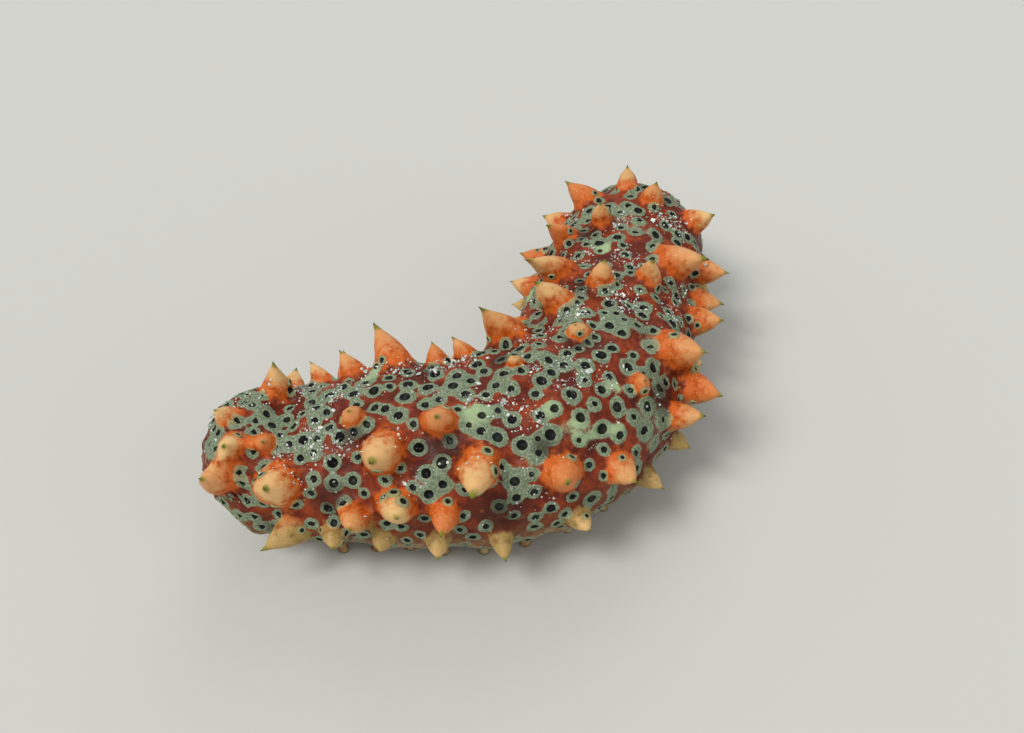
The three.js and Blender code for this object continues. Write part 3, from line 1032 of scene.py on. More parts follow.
@dataclass(frozen=True)
class MottledFinish(FleshFinish):
    """Two tones of flesh that mix in soft clouds, a third at the tips and a dark one painted as
    shade in hollows.
    """

    first: tuple = colour(0.78, 0.66, 0.48)
    second: tuple = colour(0.62, 0.42, 0.26)
    tip: tuple = colour(0.60, 0.58, 0.24)
    # Painted shade for the hollows: the vent's hole, the crown's disc and tentacle bases, and the
    # cups' middles.
    hollow: tuple = colour(0.09, 0.05, 0.03)
    scale: float = 0.6

    def build(self, group: bpy.types.NodeTree) -> bpy.types.Material:
        """Makes the material.

        Args:
            group: the shared wet grain group.

        Returns:
            The material, which reads the piece's tip and hollow attributes.
        """
        material, nodes, shader = self.start(group)
        cloud = nodes.ramp(nodes.noise(self.scale, 3.0, offset=9.0), 0.36, 0.64)
        base = nodes.mix(cloud, self.first, self.second)
        base = nodes.mix(nodes.attribute("tip"), base, self.tip)
        # Painted shade: the hollow attribute darkens the piece's hollows.
        base = nodes.mix(nodes.attribute("hollow"), base, self.hollow)
        nodes.feed(shader.inputs["Base Color"], base)
        return material


@dataclass(frozen=True)
class SandFinish:
    """Clear and white grains of sand."""

    pale: tuple = colour(0.93, 0.95, 0.92)
    dusky: tuple = colour(0.62, 0.66, 0.62)

    def build(self) -> bpy.types.Material:
        """Makes the material, whose tone and gloss differ from grain to grain.

        Returns:
            The material.
        """
        material, nodes, shader = new_material("sand_grain")
        tone = nodes.ramp(nodes.noise(0.9, 1.0, offset=3.0), 0.35, 0.65)
        nodes.feed(shader.inputs["Base Color"], nodes.mix(tone, self.pale, self.dusky))
        nodes.feed(shader.inputs["Roughness"], nodes.math("MULTIPLY_ADD", tone, 0.3, 0.5))
        return material


# ---- the skin


@dataclass(frozen=True)
class Podia:
    """The drawn-in tube feet of the back and flanks: pits in raised rings, whose dark hollows are
    painted shade.

    They are smaller by flank_less past the flank's turns, and grow from front_least over the
    front's places, where their gaps grow from front_gap. root_clear and root_near are how near to a
    papilla they keep away or stay small, in radii of its root.
    """

    tries: int = 9000
    gap: tuple[float, float] = (1.7, 3.0)
    gap_steps: int = 7
    radius: tuple[float, float] = (0.54, 1.04)
    ring: tuple[float, float] = (0.62, 1.3)
    tip_margin: float = 2.0
    last_turn: float = 146.0
    size_power: float = 0.75
    flank: tuple[float, float] = (70.0, 122.0)
    flank_less: float = 0.75
    front: tuple[float, float] = (8.0, 30.0)
    front_least: float = 0.45
    front_gap: float = 0.7
    full_half: float = 18.0
    root_clear: float = 1.12
    root_near: float = 1.5
    root_radius: float = 0.66
    bud_share: float = 0.3
    seed: int = 404

    def scatter(self, trunk: Trunk, papillae: list[Papilla]) -> tuple[Array, Array, Array, Array]:
        """Drops pits at random, and keeps each that has room.

        Args:
            trunk: the trunk.
            papillae: the papillae, whose upper parts carry no pits.

        Returns:
            The pits' s, turn and radius, and which of them hold a pale bud.
        """
        rng = np.random.default_rng(self.seed)
        s = rng.uniform(self.tip_margin, trunk.length - self.tip_margin, self.tries)
        turn = rng.uniform(-self.last_turn, self.last_turn, self.tries)
        grown = smooth(s, *self.front)
        size = rng.uniform(0.0, 1.0, self.tries) ** self.size_power
        size *= 1.0 - self.flank_less * smooth(np.abs(turn), *self.flank)
        size *= self.front_least + (1.0 - self.front_least) * grown
        radius = self.radius[0] + (self.radius[1] - self.radius[0]) * size
        spots = trunk.skin(s, turn)
        keep = rng.uniform(0.0, 1.0, self.tries) < np.sqrt(trunk.half(s) / self.full_half)
        for one in papillae:
            apart = np.linalg.norm(spots - trunk.skin(one.s, one.turn), axis=1) / one.root
            keep &= apart > self.root_clear
            radius = np.where(apart < self.root_near, np.minimum(radius, self.root_radius), radius)
        step = (self.gap[1] - self.gap[0]) / (self.gap_steps - 1.0)
        gaps = self.gap[0] + step * (np.arange(self.tries) % self.gap_steps)
        gaps *= self.front_gap + (1.0 - self.front_gap) * grown
        taken: list[int] = []
        for index in np.flatnonzero(keep):
            apart = np.linalg.norm(spots[taken] - spots[index], axis=1)
            if np.all(apart >= gaps[index] + 0.5 * (radius[taken] + radius[index])):
                taken.append(int(index))
        budded = rng.uniform(0.0, 1.0, len(taken)) < self.bud_share
        return s[taken], turn[taken], radius[taken], budded


@dataclass
class Skin:
    """The one skin over the whole trunk, with its papillae, pits and folds.

    The profile gives a papilla's radii and heights from its tip to its flare, in shares of its
    root's radius and of its height. Heights, levels and walls are where a soft step starts and
    ends: in shares of a papilla's height, in a field's own numbers, and in shares of a pit's
    radius. The last four fields are what the skin's build leaves for the pieces that stand on it.
    """

    trunk: Trunk
    papillae: list[Papilla]
    podia: Podia = field(default_factory=Podia)
    columns: int = 288
    sole_turns: tuple[float, float] = (110.0, 135.0)
    sole_share: float = 0.27
    body_rings: int = 286
    cap_rings: tuple[int, int] = (20, 26)
    flare: float = 1.34
    gather: float = 1.22
    profile: tuple[tuple[float, float], ...] = (
        (0.0, 1.0), (0.04, 0.975), (0.07, 0.93), (0.13, 0.87), (0.26, 0.78), (0.46, 0.66),
        (0.66, 0.51), (0.81, 0.34), (0.91, 0.19), (1.0, 0.09), (1.13, 0.03), (1.34, 0.0),
    )
    curl_power: float = 1.6
    caught: float = 1.4
    cream_play: tuple[float, float] = (0.15, 0.85)
    shaved: tuple[float, float, float] = (0.3, 0.9, 9.0)
    pit_search: float = 9.0
    pit_depth: float = 0.85
    pit_wall: tuple[float, float] = (-0.15, 0.85)
    full_pit: float = 0.8
    bud_wall: tuple[float, float] = (0.5, 0.8)
    bud_fill: float = 0.6
    ring_play: tuple[float, float] = (0.6, 0.4)
    ring_pad: float = 0.26
    pad_levels: tuple[float, float] = (0.2, 0.6)
    ring_fade: float = 0.8
    fade_heights: tuple[float, float] = (0.1, 0.4)
    mint_ring: float = 0.5
    mint_heights: tuple[float, float] = (0.03, 0.2)
    network: Ripple = Ripple(17.0, 12, 5)
    network_levels: tuple[float, float] = (0.3, 1.5)
    network_ring: float = 0.36
    folds: tuple[tuple[float, Ripple], ...] = (
        (0.34, Ripple(9.0, 16, 1)),
        (0.2, Ripple(4.4, 18, 2)),
    )
    # Levels of the fold heights over which the painted shade in the valleys rises.
    fold_shade_levels: tuple[float, float] = (0.05, 0.65)
    calm: float = 0.75
    calm_heights: tuple[float, float] = (0.05, 0.4)
    ridges: tuple[float, Ripple] = (0.16, Ripple(2.4, 18, 3))
    ridge_stretch: tuple[float, float, float] = (0.45, 1.0, 1.0)
    back_turns: tuple[float, float] = (112.0, 150.0)
    opening_edge: tuple[float, float] = (-0.4, 1.4)
    belly_turns: tuple[float, float] = (68.0, 128.0)
    surface: Array = field(init=False)
    outward: Array = field(init=False)
    height: Array = field(init=False)
    ring: Array = field(init=False)

    def rings(self) -> Array:
        """Lists the rings' places: close together on the round ends, without the two tips.

        Returns:
            Places along the body.
        """
        trunk = self.trunk
        eased = [1.0 - np.cos(np.arange(1, count) / count * np.pi / 2) for count in self.cap_rings]
        rear = trunk.length - trunk.rear_cap
        middle = np.linspace(trunk.front_cap, rear, self.body_rings)
        ends = trunk.front_cap * eased[0], trunk.length - trunk.rear_cap * eased[1][::-1]
        return np.concatenate([ends[0], middle, ends[1]])

    def turns(self) -> Array:
        """Lists the columns' turns: even on the back and flanks, further apart on the sole.

        Returns:
            Turns in degrees, from -180 up.
        """
        turn = np.linspace(-180.0, 180.0, 721)
        weight = 1.0 - (1.0 - self.sole_share) * smooth(np.abs(turn), *self.sole_turns)
        share = np.concatenate([[0.0], np.cumsum((weight[1:] + weight[:-1]) / 2.0)])
        return np.interp(np.arange(self.columns) / self.columns * share[-1], share, turn)

    def shave(self, points: Array, opening: Opening) -> Array:
        """Presses the skin flat behind the mouth or the vent.

        Args:
            points: the skin's points.
            opening: the opening that sits there.

        Returns:
            Points whose distance in front of the opening's plane is held below it.
        """
        sunk, soft, reach = self.shaved
        centre, out, _, _ = opening.frame(self.trunk)
        ahead = (points - centre) @ out + sunk
        near = np.linalg.norm(points - centre, axis=-1) < opening.rim + reach
        over = np.where(near, soft * np.logaddexp(0.0, ahead / soft), 0.0)
        return points - over[..., None] * out

    def raise_papilla(self, base: Array, moved: Array, papilla: Papilla) -> Array:
        """Raises one papilla out of the grid.

        The grid inside the flare is first shifted so that one of its points lies at the centre, and
        drawn in so that its rings lie evenly up a turned profile. Then each point is lifted along
        the outward way and curled over.

        Args:
            base: the plain skin's points.
            moved: the displacement so far, to which this papilla's is added.
            papilla: the papilla.

        Returns:
            The height share of every point, 0 outside the papilla.
        """
        out, along, around = self.trunk.skin_frame(papilla.s, papilla.turn)
        reach = self.flare * papilla.root
        offset = base - self.trunk.skin(papilla.s, papilla.turn)
        inside = np.linalg.norm(offset, axis=-1) < self.caught * reach
        x = offset[inside] @ along
        y = offset[inside] @ around
        middle = np.argmin(x * x + y * y)
        fall = np.clip(1.0 - (x * x + y * y) / reach**2, 0.0, 1.0) ** 2
        new_x = x - x[middle] * fall
        new_y = y - y[middle] * fall
        distance = np.hypot(new_x, new_y)
        within = distance < reach
        radii, heights = np.array(self.profile).T * [[papilla.root], [papilla.high]]
        arc = np.concatenate([[0.0], np.cumsum(np.hypot(np.diff(radii), np.diff(heights)))])
        share = np.minimum(distance / reach, 1.0) ** self.gather * arc[-1]
        drawn = np.where(within, np.interp(share, arc, radii) / np.maximum(distance, 1e-6), 1.0)
        height = np.where(within, np.interp(share, arc, heights), 0.0)
        curl = papilla.high * (height / papilla.high) ** self.curl_power
        shift = (new_x * drawn - x - papilla.lean * curl)[:, None] * along
        shift += (new_y * drawn - y + papilla.side * curl)[:, None] * around
        moved[inside] += shift + height[:, None] * out
        found = np.zeros(base.shape[:2])
        found[inside] = height / papilla.high
        return found

    def pit_fields(self, surface: Array) -> dict[str, Array]:
        """Measures the pits on the skin as it stands, so that they stay round on the papillae.

        Each pit adds exp(-(distance to its edge / its ring's width)^2) to the ring field, whose
        level lines run together between neighbours.

        Args:
            surface: the skin's points with the papillae raised.

        Returns:
            pit_edge, the distance to the nearest edge, negative inside; deep, how deep a point
            lies in its pit; ring, the ring field; and bud, how far it is part of a pale bud.
        """
        pits = self.podia.scatter(self.trunk, self.papillae)
        rows = self.rings()
        columns = self.turns()
        found = {name: np.zeros(surface.shape[:2]) for name in ("pit_edge", "deep", "ring", "bud")}
        found["pit_edge"] += self.pit_search
        low, high = self.podia.ring
        least, more = self.ring_play
        for index, (s, turn, size, budded) in enumerate(zip(*pits)):
            spot = surface[np.abs(rows - s).argmin(), np.abs(columns - turn).argmin()]
            band = slice(*np.searchsorted(rows, [s - self.pit_search, s + self.pit_search]))
            edge, deep, ring, bud = (values[band] for values in found.values())
            away = np.linalg.norm(surface[band] - spot, axis=-1) - size
            width = (low + (high - low) * float(draw(index, 53.0)) ** 2) * (least + more * size)
            depth = smooth(-away / size, *self.pit_wall) * min(1.0, size / self.full_pit)
            np.minimum(edge, away, out=edge)
            np.maximum(deep, depth, out=deep)
            ring += np.exp(-((np.maximum(away, 0.0) / width) ** 2))
            if budded:
                np.maximum(bud, smooth(-away / size, *self.bud_wall), out=bud)
        LOG.info("pits of drawn-in feet: %d", len(pits[0]))
        return found

    def normals(self, points: Array) -> Array:
        """Gives outward unit normals of the grid.

        Args:
            points: the grid's points.

        Returns:
            The cross product of the steps along and round the body.
        """
        along = np.gradient(points, axis=0)
        around = np.roll(points, -1, axis=1) - np.roll(points, 1, axis=1)
        out = np.cross(along, around)
        return out / np.maximum(np.linalg.norm(out, axis=-1, keepdims=True), 1e-9)

    def fold_heights(self, base: Array) -> Array:
        """Gives the height of the skin's folds.

        Args:
            base: the plain skin's points.

        Returns:
            The sum of the soft waves, less the ridges of a fine one that is stretched along x.
        """
        total = sum(high * wave.at(base) for high, wave in self.folds)
        high, wave = self.ridges
        return total - high * np.abs(wave.at(base * self.ridge_stretch))

    def back_share(self, base: Array, turn: Array) -> Array:
        """Gives how far each point is part of the carved back.

        Args:
            base: the plain skin's points.
            turn: their turns.

        Returns:
            1 on the back and flanks, falling to 0 on the sole and at the mouth and the vent.
        """
        back = 1.0 - smooth(np.abs(turn), *self.back_turns)
        inner, outer = self.opening_edge
        for opening in (MOUTH, VENT):
            apart = np.linalg.norm(base - opening.frame(self.trunk)[0], axis=-1)
            back = back * smooth(apart, opening.rim + inner, opening.rim + outer)
        return back

    def build(self) -> Piece:
        """Makes the skin and its attributes.

        Returns:
            The skin, one closed surface.
        """
        trunk = self.trunk
        rows = self.rings()[:, None]
        turn = self.turns()[None, :] + 0.0 * rows
        base = self.shave(self.shave(trunk.skin(rows, turn), MOUTH), VENT)
        moved = np.zeros_like(base)
        height = np.zeros(base.shape[:2])
        cream = np.zeros(base.shape[:2])
        for index, papilla in enumerate(self.papillae):
            share = self.raise_papilla(base, moved, papilla)
            height = np.maximum(height, share)
            # How strongly each papilla shows its pale patch, which is partly a painted highlight.
            cream = np.where(share > 0.0, vary(*self.cream_play, index, 71.0), cream)
        points = base + moved
        values = self.pit_fields(points)
        deep = values.pop("deep")
        back = self.back_share(base, turn)
        fold = self.fold_heights(base)
        mint = patches(trunk, base, MINT_SPOTS) * (1.0 - smooth(height, *self.mint_heights))
        faded = smooth(height, *self.fade_heights)
        network = smooth(self.network.at(base), *self.network_levels)
        values["ring"] += self.mint_ring * mint + self.network_ring * back * network
        values["ring"] *= 1.0 - self.ring_fade * faded
        pad = self.ring_pad * smooth(values["ring"], *self.pad_levels)
        pad = pad - self.pit_depth * deep * (1.0 - self.bud_fill * values["bud"])
        lift = back * (1.0 - self.calm * smooth(height, *self.calm_heights)) * fold + back * pad
        points = points + lift[..., None] * self.normals(points)
        points[..., 2] = np.clip(points[..., 2], trunk.foot_height, None)
        low, high = np.array(CAD_BOX) / MM
        self.surface = np.clip(points, low, high)
        self.outward = self.normals(self.surface)
        self.height = height
        self.ring = values["ring"]
        values.update(
            papilla=height,
            cream=cream,
            # Painted shade mask: 1 in the valleys of the folds.
            fold=smooth(-fold, *self.fold_shade_levels),
            belly=smooth(np.abs(turn), *self.belly_turns),
            mint=mint,
            # Painted shadow, partly dark pigment: the dark patches, faded out up the papillae.
            shade=patches(trunk, base, SHADOW_AND_PIGMENT_SPOTS) * (1.0 - faded),
        )
        return self.to_mesh(values)

    def to_mesh(self, values: dict[str, Array]) -> Piece:
        """Closes the grid with its two tips and stores the attributes and the map.

        Args:
            values: the attributes, by name.

        Returns:
            The skin.
        """
        rows, columns = self.surface.shape[:2]
        tips = self.surface[[0, -1]].mean(axis=1)
        points = np.concatenate([self.surface.reshape(-1, 3), tips])
        values = {
            name: np.concatenate([value.ravel(), value[[0, -1]].mean(axis=1)])
            for name, value in values.items()
        }
        piece = make_piece("skin", points, flipped(capped_faces(rows, columns)), **values)
        self.unwrap(piece, rows, columns)
        return piece

    def unwrap(self, piece: Piece, rows: int, columns: int) -> None:
        """Lays the skin's map out flat: rings up the map, columns across it.

        Args:
            piece: the skin.
            rows: how many rings it has.
            columns: how many points each ring has.
        """
        column = np.arange(columns)
        zero = 0 * column
        across, up = np.meshgrid(column, np.arange(1, rows))
        parts = (
            [(across, up + 1), (across + 1, up + 1), (across + 1, up), (across, up)],
            [(column, zero + 1), (column + 1, zero + 1), (column + 0.5, zero)],
            [(column + 1, zero + rows), (column, zero + rows), (column + 0.5, zero + rows + 1)],
        )
        corners = [np.stack([np.stack(one, axis=-1) for one in part], axis=-2) for part in parts]
        places = np.concatenate([one.reshape(-1, 2) for one in corners]) / [columns, rows + 1]
        places[:, 0] = 1.0 - places[:, 0]
        layer = piece.data.uv_layers.new(name="OFBake")
        layer.data.foreach_set("uv", places.ravel())


# ---- smaller pieces


@dataclass(frozen=True)
class SandDusting:
    """Grains of sand that lie on the back, some of them thin plates."""

    grains: int = 2600
    size: tuple[float, float] = (0.14, 0.46)
    plates: int = 110
    plate_size: float = 0.8
    plate_thin: float = 0.3
    drift: Ripple = Ripple(14.0, 14, 8)
    drift_levels: tuple[float, float] = (0.2, 1.4)
    drift_chance: float = 0.16
    stray_chance: float = 0.004
    least_rise: float = 0.1
    heights: tuple[float, float] = (0.15, 0.6)
    highest: float = 0.55
    sink: float = 0.2
    corners: tuple[tuple[int, int, int], ...] = (
        (1, 0, 0), (0, 1, 0), (-1, 0, 0), (0, -1, 0), (0, 0, 1), (0, 0, -1),
    )
    triangles: tuple[tuple[int, int, int], ...] = (
        (0, 1, 4), (1, 2, 4), (2, 3, 4), (3, 0, 4), (1, 0, 5), (2, 1, 5), (3, 2, 5), (0, 3, 5),
    )
    seed: int = 77

    def chances(self, skin: Skin, rng: np.random.Generator) -> Array:
        """Gives how likely a grain is to lie at each of the skin's points.

        Args:
            skin: the finished skin.
            rng: the source of the draws.

        Returns:
            Shares that add up to 1: more in the drifts and patches, on level skin and off the
            papillae, and none near their tips.
        """
        spots = skin.surface.reshape(-1, 3)
        rise = skin.outward.reshape(-1, 3)[:, 2]
        height = skin.height.ravel()
        chance = self.drift_chance * smooth(self.drift.at(spots), *self.drift_levels)
        chance += patches(skin.trunk, spots, SAND_SPOTS) * rng.uniform(0.0, 1.0, len(spots)) ** 2
        chance *= np.clip(rise - self.least_rise, 0.0, 1.0) * (1.0 - smooth(height, *self.heights))
        chance += self.stray_chance * (rise > self.least_rise)
        chance *= height < self.highest
        return chance / chance.sum()

    def build(self, skin: Skin) -> Piece:
        """Makes the grains, as jittered eight-sided stones sunk into the skin.

        Args:
            skin: the finished skin.

        Returns:
            All the grains, as one piece.
        """
        rng = np.random.default_rng(self.seed)
        chance = self.chances(skin, rng)
        picked = rng.choice(len(chance), self.grains, replace=False, p=chance)
        spots = skin.surface.reshape(-1, 3)[picked]
        out = skin.outward.reshape(-1, 3)[picked]
        size = self.size[0] + (self.size[1] - self.size[0]) * rng.uniform(0, 1, self.grains) ** 2
        size[: self.plates] = self.plate_size * rng.uniform(0.6, 1.1, self.plates)
        shape = np.array(self.corners, float) * rng.uniform(0.65, 1.25, (self.grains, 6, 3))
        shape *= (size[:, None] * rng.uniform(0.35, 1.0, (self.grains, 3)))[:, None, :]
        shape[: self.plates, :, 2] *= self.plate_thin
        tilt = unit(rng.normal(0.0, 0.35, (self.grains, 3)) + out)
        side = unit(np.cross(tilt, rng.normal(size=(self.grains, 3))))
        axes = np.stack([side, np.cross(tilt, side), tilt], axis=1)
        placed = np.einsum("gcj,gjk->gck", shape, axes) + spots[:, None, :]
        placed += (out * size[:, None] * self.sink)[:, None, :]
        faces = np.array(self.triangles) + 6 * np.arange(self.grains)[:, None, None]
        return make_piece("sand_dusting", placed, faces.reshape(-1, 3).tolist(), rounded=False)


@dataclass(frozen=True)
class PapillaCups:
    """The small cups on the flanks of the large papillae: a raised ring round a hollow that is
    painted dark as shade.
    """

    least_root: float = 2.5
    large_root: float = 3.4
    full_root: float = 3.6
    columns: int = 12
    outline: tuple[float, ...] = (0.1, 0.46, 0.54, 0.68, 0.88, 1.1)
    levels: tuple[float, ...] = (0.07, 0.08, 0.18, 0.21, 0.12, -0.4)
    hollow: tuple[float, float] = (0.46, 0.56)
    sizes: tuple[float, float] = (0.85, 1.3)
    shares: tuple[float, float] = (0.14, 0.5)
    most_ring: float = 0.12
    apart: float = 0.15
    tries: int = 12
    seed: int = 91

    def places(self, skin: Skin, papilla: Papilla, rng: np.random.Generator) -> list[int]:
        """Picks where a papilla's cups stand, off the rings and at different heights.

        Args:
            skin: the finished skin.
            papilla: the papilla.
            rng: the source of the draws.

        Returns:
            Up to two of the skin's points on a large papilla, and up to one on a smaller one.
        """
        share = skin.height.ravel()
        foot = skin.trunk.skin(papilla.s, papilla.turn)
        gap = np.linalg.norm(skin.surface.reshape(-1, 3) - foot, axis=1)
        fits = (gap < papilla.root + 0.6 * papilla.high) & (skin.ring.ravel() < self.most_ring)
        fits &= (share > self.shares[0]) & (share < self.shares[1])
        most = 2 if papilla.root > self.large_root else 1
        taken: list[int] = []
        for index in rng.permutation(np.flatnonzero(fits))[: self.tries]:
            if len(taken) < most and np.all(np.abs(share[index] - share[taken]) > self.apart):
                taken.append(int(index))
        return taken

    def build(self, skin: Skin) -> Piece:
        """Makes the cups as turned profiles that stand square on the flanks of the papillae.

        Args:
            skin: the finished skin.

        Returns:
            All the cups, as one piece with a hollow attribute for the painted shade in their
            middles.
        """
        rng = np.random.default_rng(self.seed)
        ends = (self.levels[0], self.levels[-1])
        one_cup = turned_solid(self.outline, self.levels, ends, self.columns)
        faces = flipped(capped_faces(len(self.outline), self.columns))
        # Painted shade: each cup's middle is painted dark.
        hollow = 1.0 - smooth(np.linalg.norm(one_cup[:, :2], axis=1), *self.hollow)
        surface = skin.surface.reshape(-1, 3)
        outward = skin.outward.reshape(-1, 3)
        shapes = []
        for papilla in skin.papillae:
            if papilla.root < self.least_root:
                continue
            for index in self.places(skin, papilla, rng):
                out = outward[index]
                side = unit(np.cross(out, [0.3, 0.5, 0.8]))
                axes = np.stack([side, np.cross(out, side), out])
                size = rng.uniform(*self.sizes) * min(1.0, papilla.root / self.full_root)
                shapes.append((one_cup * size @ axes + surface[index], faces))
        LOG.info("cups on papillae: %d", len(shapes))
        return make_piece("papilla_cups", *joined(shapes), hollow=np.tile(hollow, len(shapes)))


@dataclass(frozen=True)
class FootBand:
    """One band of tube feet along the sole."""

    turn: float
    first: float
    pitch: float
    seed: int


@dataclass(frozen=True)
class TubeFeet:
    """The tube feet that the body stands on, each ending in a sucker flat on the ground."""

    bands: tuple[FootBand, ...] = (
        FootBand(180.0, 24.0, 5.4, 11),
        FootBand(147.0, 22.0, 6.2, 12),
        FootBand(213.0, 25.0, 6.2, 13),
    )
    wander: float = 1.1
    end: float = 13.0
    disc: float = 1.05
    sides: int = 14
    outline: tuple[float, ...] = (0.6, 0.95, 1.05, 1.0, 0.72, 0.6, 0.66, 0.6, 0.72, 0.9)
    levels: tuple[float, ...] = (0.12, 0.0, 0.14, 0.34, 0.56, 0.8, 1.05, 1.3, 1.55, 1.9)
    hollow: float = 0.16

    def places(self, trunk: Trunk, pattern: PapillaPattern) -> list[list[float]]:
        """Gives the feet's centres on the ground.

        Args:
            trunk: the trunk.
            pattern: the pattern that knows where the solids are cut.

        Returns:
            x, y and z of each foot.
        """
        found = []
        for band in self.bands:
            count = math.ceil((trunk.length - self.end - band.first) / band.pitch)
            for index in range(count):
                shift = self.wander * (2.0 * float(draw(index, band.seed)) - 1.0)
                s = pattern.clear_of_cuts(trunk, band.first + index * band.pitch, 180.0, self.disc)
                across = float(trunk.half(s)) * math.sin(math.radians(band.turn)) + shift
                x, y = trunk.line(s)
                turn = float(trunk.heading(s))
                found.append([x - across * math.sin(turn), y + across * math.cos(turn), 0.0])
        return found

    def build(self, trunk: Trunk, pattern: PapillaPattern) -> Piece:
        """Makes the feet as turned profiles: a hollow sucker, a ringed stem, a root in the sole.

        Args:
            trunk: the trunk.
            pattern: the pattern that knows where the solids are cut.

        Returns:
            All the feet, as one piece with a tip attribute that is 1 at the suckers.
        """
        foot = turned_solid(self.outline, self.levels, (self.hollow, self.levels[-1]), self.sides)
        faces = capped_faces(len(self.outline), self.sides)
        shapes = [(foot + place, faces) for place in self.places(trunk, pattern)]
        LOG.info("tube feet: %d", len(shapes))
        tip = 1.0 - smooth(foot[:, 2], 0.1, 0.5)
        return make_piece("tube_feet", *joined(shapes), tip=np.tile(tip, len(shapes)))


@dataclass(frozen=True)
class MouthParts:
    """The lips round the mouth, and the short shield-ended tentacles inside them.

    A tentacle's stem runs up its length as places, radii and heights in shares. The disc's profile
    is its radii and levels from its dished middle over its edge to its hidden back.
    """

    lip: float = 5.05
    lip_wide: float = 0.98
    lip_high: float = 1.7
    lip_grid: tuple[int, int] = (220, 28)
    pleats: int = 26
    pleat_high: float = 0.16
    tentacles: int = 18
    tentacle_grid: tuple[int, int] = (16, 16)
    root: float = 0.9
    ring: float = 2.75
    inner_ring: float = 0.68
    long: float = 2.3
    splay: float = 24.0
    inner_splay: float = 0.2
    lobes: int = 5
    lobe_deep: float = 0.22
    stem: tuple[tuple[float, float, float], ...] = (
        (0.0, 0.36, -0.3), (0.45, 0.3, 0.5), (0.62, 0.42, 0.68),
        (0.8, 0.62, 0.86), (0.92, 0.5, 0.98), (1.0, 0.02, 0.9),
    )
    disc_radii: tuple[float, ...] = (0.25, 0.7, 1.1, 1.6, 2.3, 3.2, 4.0, 4.3, 4.3, 2.0, 0.4)
    disc_levels: tuple[float, ...] = (
        0.35, 0.45, 0.9, 1.0, 0.95, 0.9, 0.85, 0.6, -0.25, -0.3, -0.3,
    )
    disc_sides: int = 40

    def lips(self, trunk: Trunk) -> Piece:
        """Makes the lips: an oval ring swept round the mouth, pinched into pleats.

        Args:
            trunk: the trunk.

        Returns:
            The lips.
        """
        rows, columns = self.lip_grid
        around = circle(rows)[:, None]
        section = circle(columns)[None, :]
        pleat = np.abs(np.sin(around * self.pleats / 2.0)) - 0.5
        soft = self.pleat_high * pleat * np.clip(np.sin(section) + 0.4, 0.0, None)
        wide = self.lip_wide * (0.93 + 0.06 * np.sin(3.0 * around)) + soft * 0.4
        radius = self.lip + wide * np.cos(section)
        height = 0.62 + (self.lip_high - 0.74) * np.sin(section) + soft - 0.1
        points = MOUTH.place(trunk, radius * np.cos(around), radius * np.sin(around), height)
        faces = (grid_quads(rows + 1, columns) % (rows * columns)).tolist()
        tip = smooth(np.sin(section), 0.2, 1.0) * (0.35 + 0.5 * pleat)
        return make_piece("lips", points, flipped(faces), tip=tip)

    def tentacle(self, index: int) -> tuple[Array, Array, Array]:
        """Works out one tentacle: a stalk that opens into a lobed shield.

        Args:
            index: which tentacle it is; the odd ones stand in the outer ring and splay more.

        Returns:
            x, y and z in the mouth's frame, as grids.
        """
        rows, columns = self.tentacle_grid
        share = np.linspace(0.0, 1.0, rows)[:, None]
        turn = circle(columns)[None, :]
        long = self.long * vary(0.85, 0.3, index, 32)
        places, radii, heights = np.array(self.stem).T
        wide = 1.0 + self.lobe_deep * np.sin(self.lobes * turn) * smooth(share, 0.55, 0.8)
        stem = np.interp(share, places, radii) * wide
        x = stem * np.cos(turn)
        y = stem * np.sin(turn)
        z = self.root + long * np.interp(share, places, heights) + 0.0 * turn
        outer = index % 2 == 1
        inner = self.ring if outer else self.ring * self.inner_ring
        splay = math.tan(math.radians(self.splay if outer else self.splay * self.inner_splay))
        angle = 2.0 * math.pi * (index + 0.25 * float(draw(index, 31))) / self.tentacles
        x = inner + x + splay * np.clip(z - self.root, 0.0, None) * 0.35
        cosine, sine = math.cos(angle), math.sin(angle)
        return x * cosine - y * sine, x * sine + y * cosine, z

    def crown(self, trunk: Trunk) -> Piece:
        """Makes the tentacles and the dished disc that they stand on.

        Args:
            trunk: the trunk.

        Returns:
            The crown, with attributes for the tentacles' ends and for the painted shade in the
            hollow between them.
        """
        shapes = []
        tips = []
        hollows = []
        for index in range(self.tentacles):
            x, y, z = self.tentacle(index)
            shapes.append((MOUTH.place(trunk, x, y, z), tube_faces(*z.shape)))
            tips.append(smooth(z, 2.2, 3.1).ravel())
            # Painted shade: the tentacles darken down towards their bases.
            hollows.append(0.6 * (1.0 - smooth(z, 0.7, 1.5)).ravel())
        disc = turned(self.disc_radii, self.disc_levels, self.disc_sides)
        faces = flipped(tube_faces(*disc.shape[:2]))
        shapes.append((MOUTH.place(trunk, *np.moveaxis(disc, -1, 0)), faces))
        tips.append(np.zeros(disc[..., 0].size))
        # Painted shade: the disc is painted dark at its middle and half dark further out.
        radius = np.repeat(self.disc_radii, self.disc_sides)
        hollows.append(1.0 - 0.5 * smooth(radius, 0.6, 1.6))
        values = {"tip": np.concatenate(tips), "hollow": np.concatenate(hollows)}
        return make_piece("tentacle_crown_fine", *joined(shapes), **values)


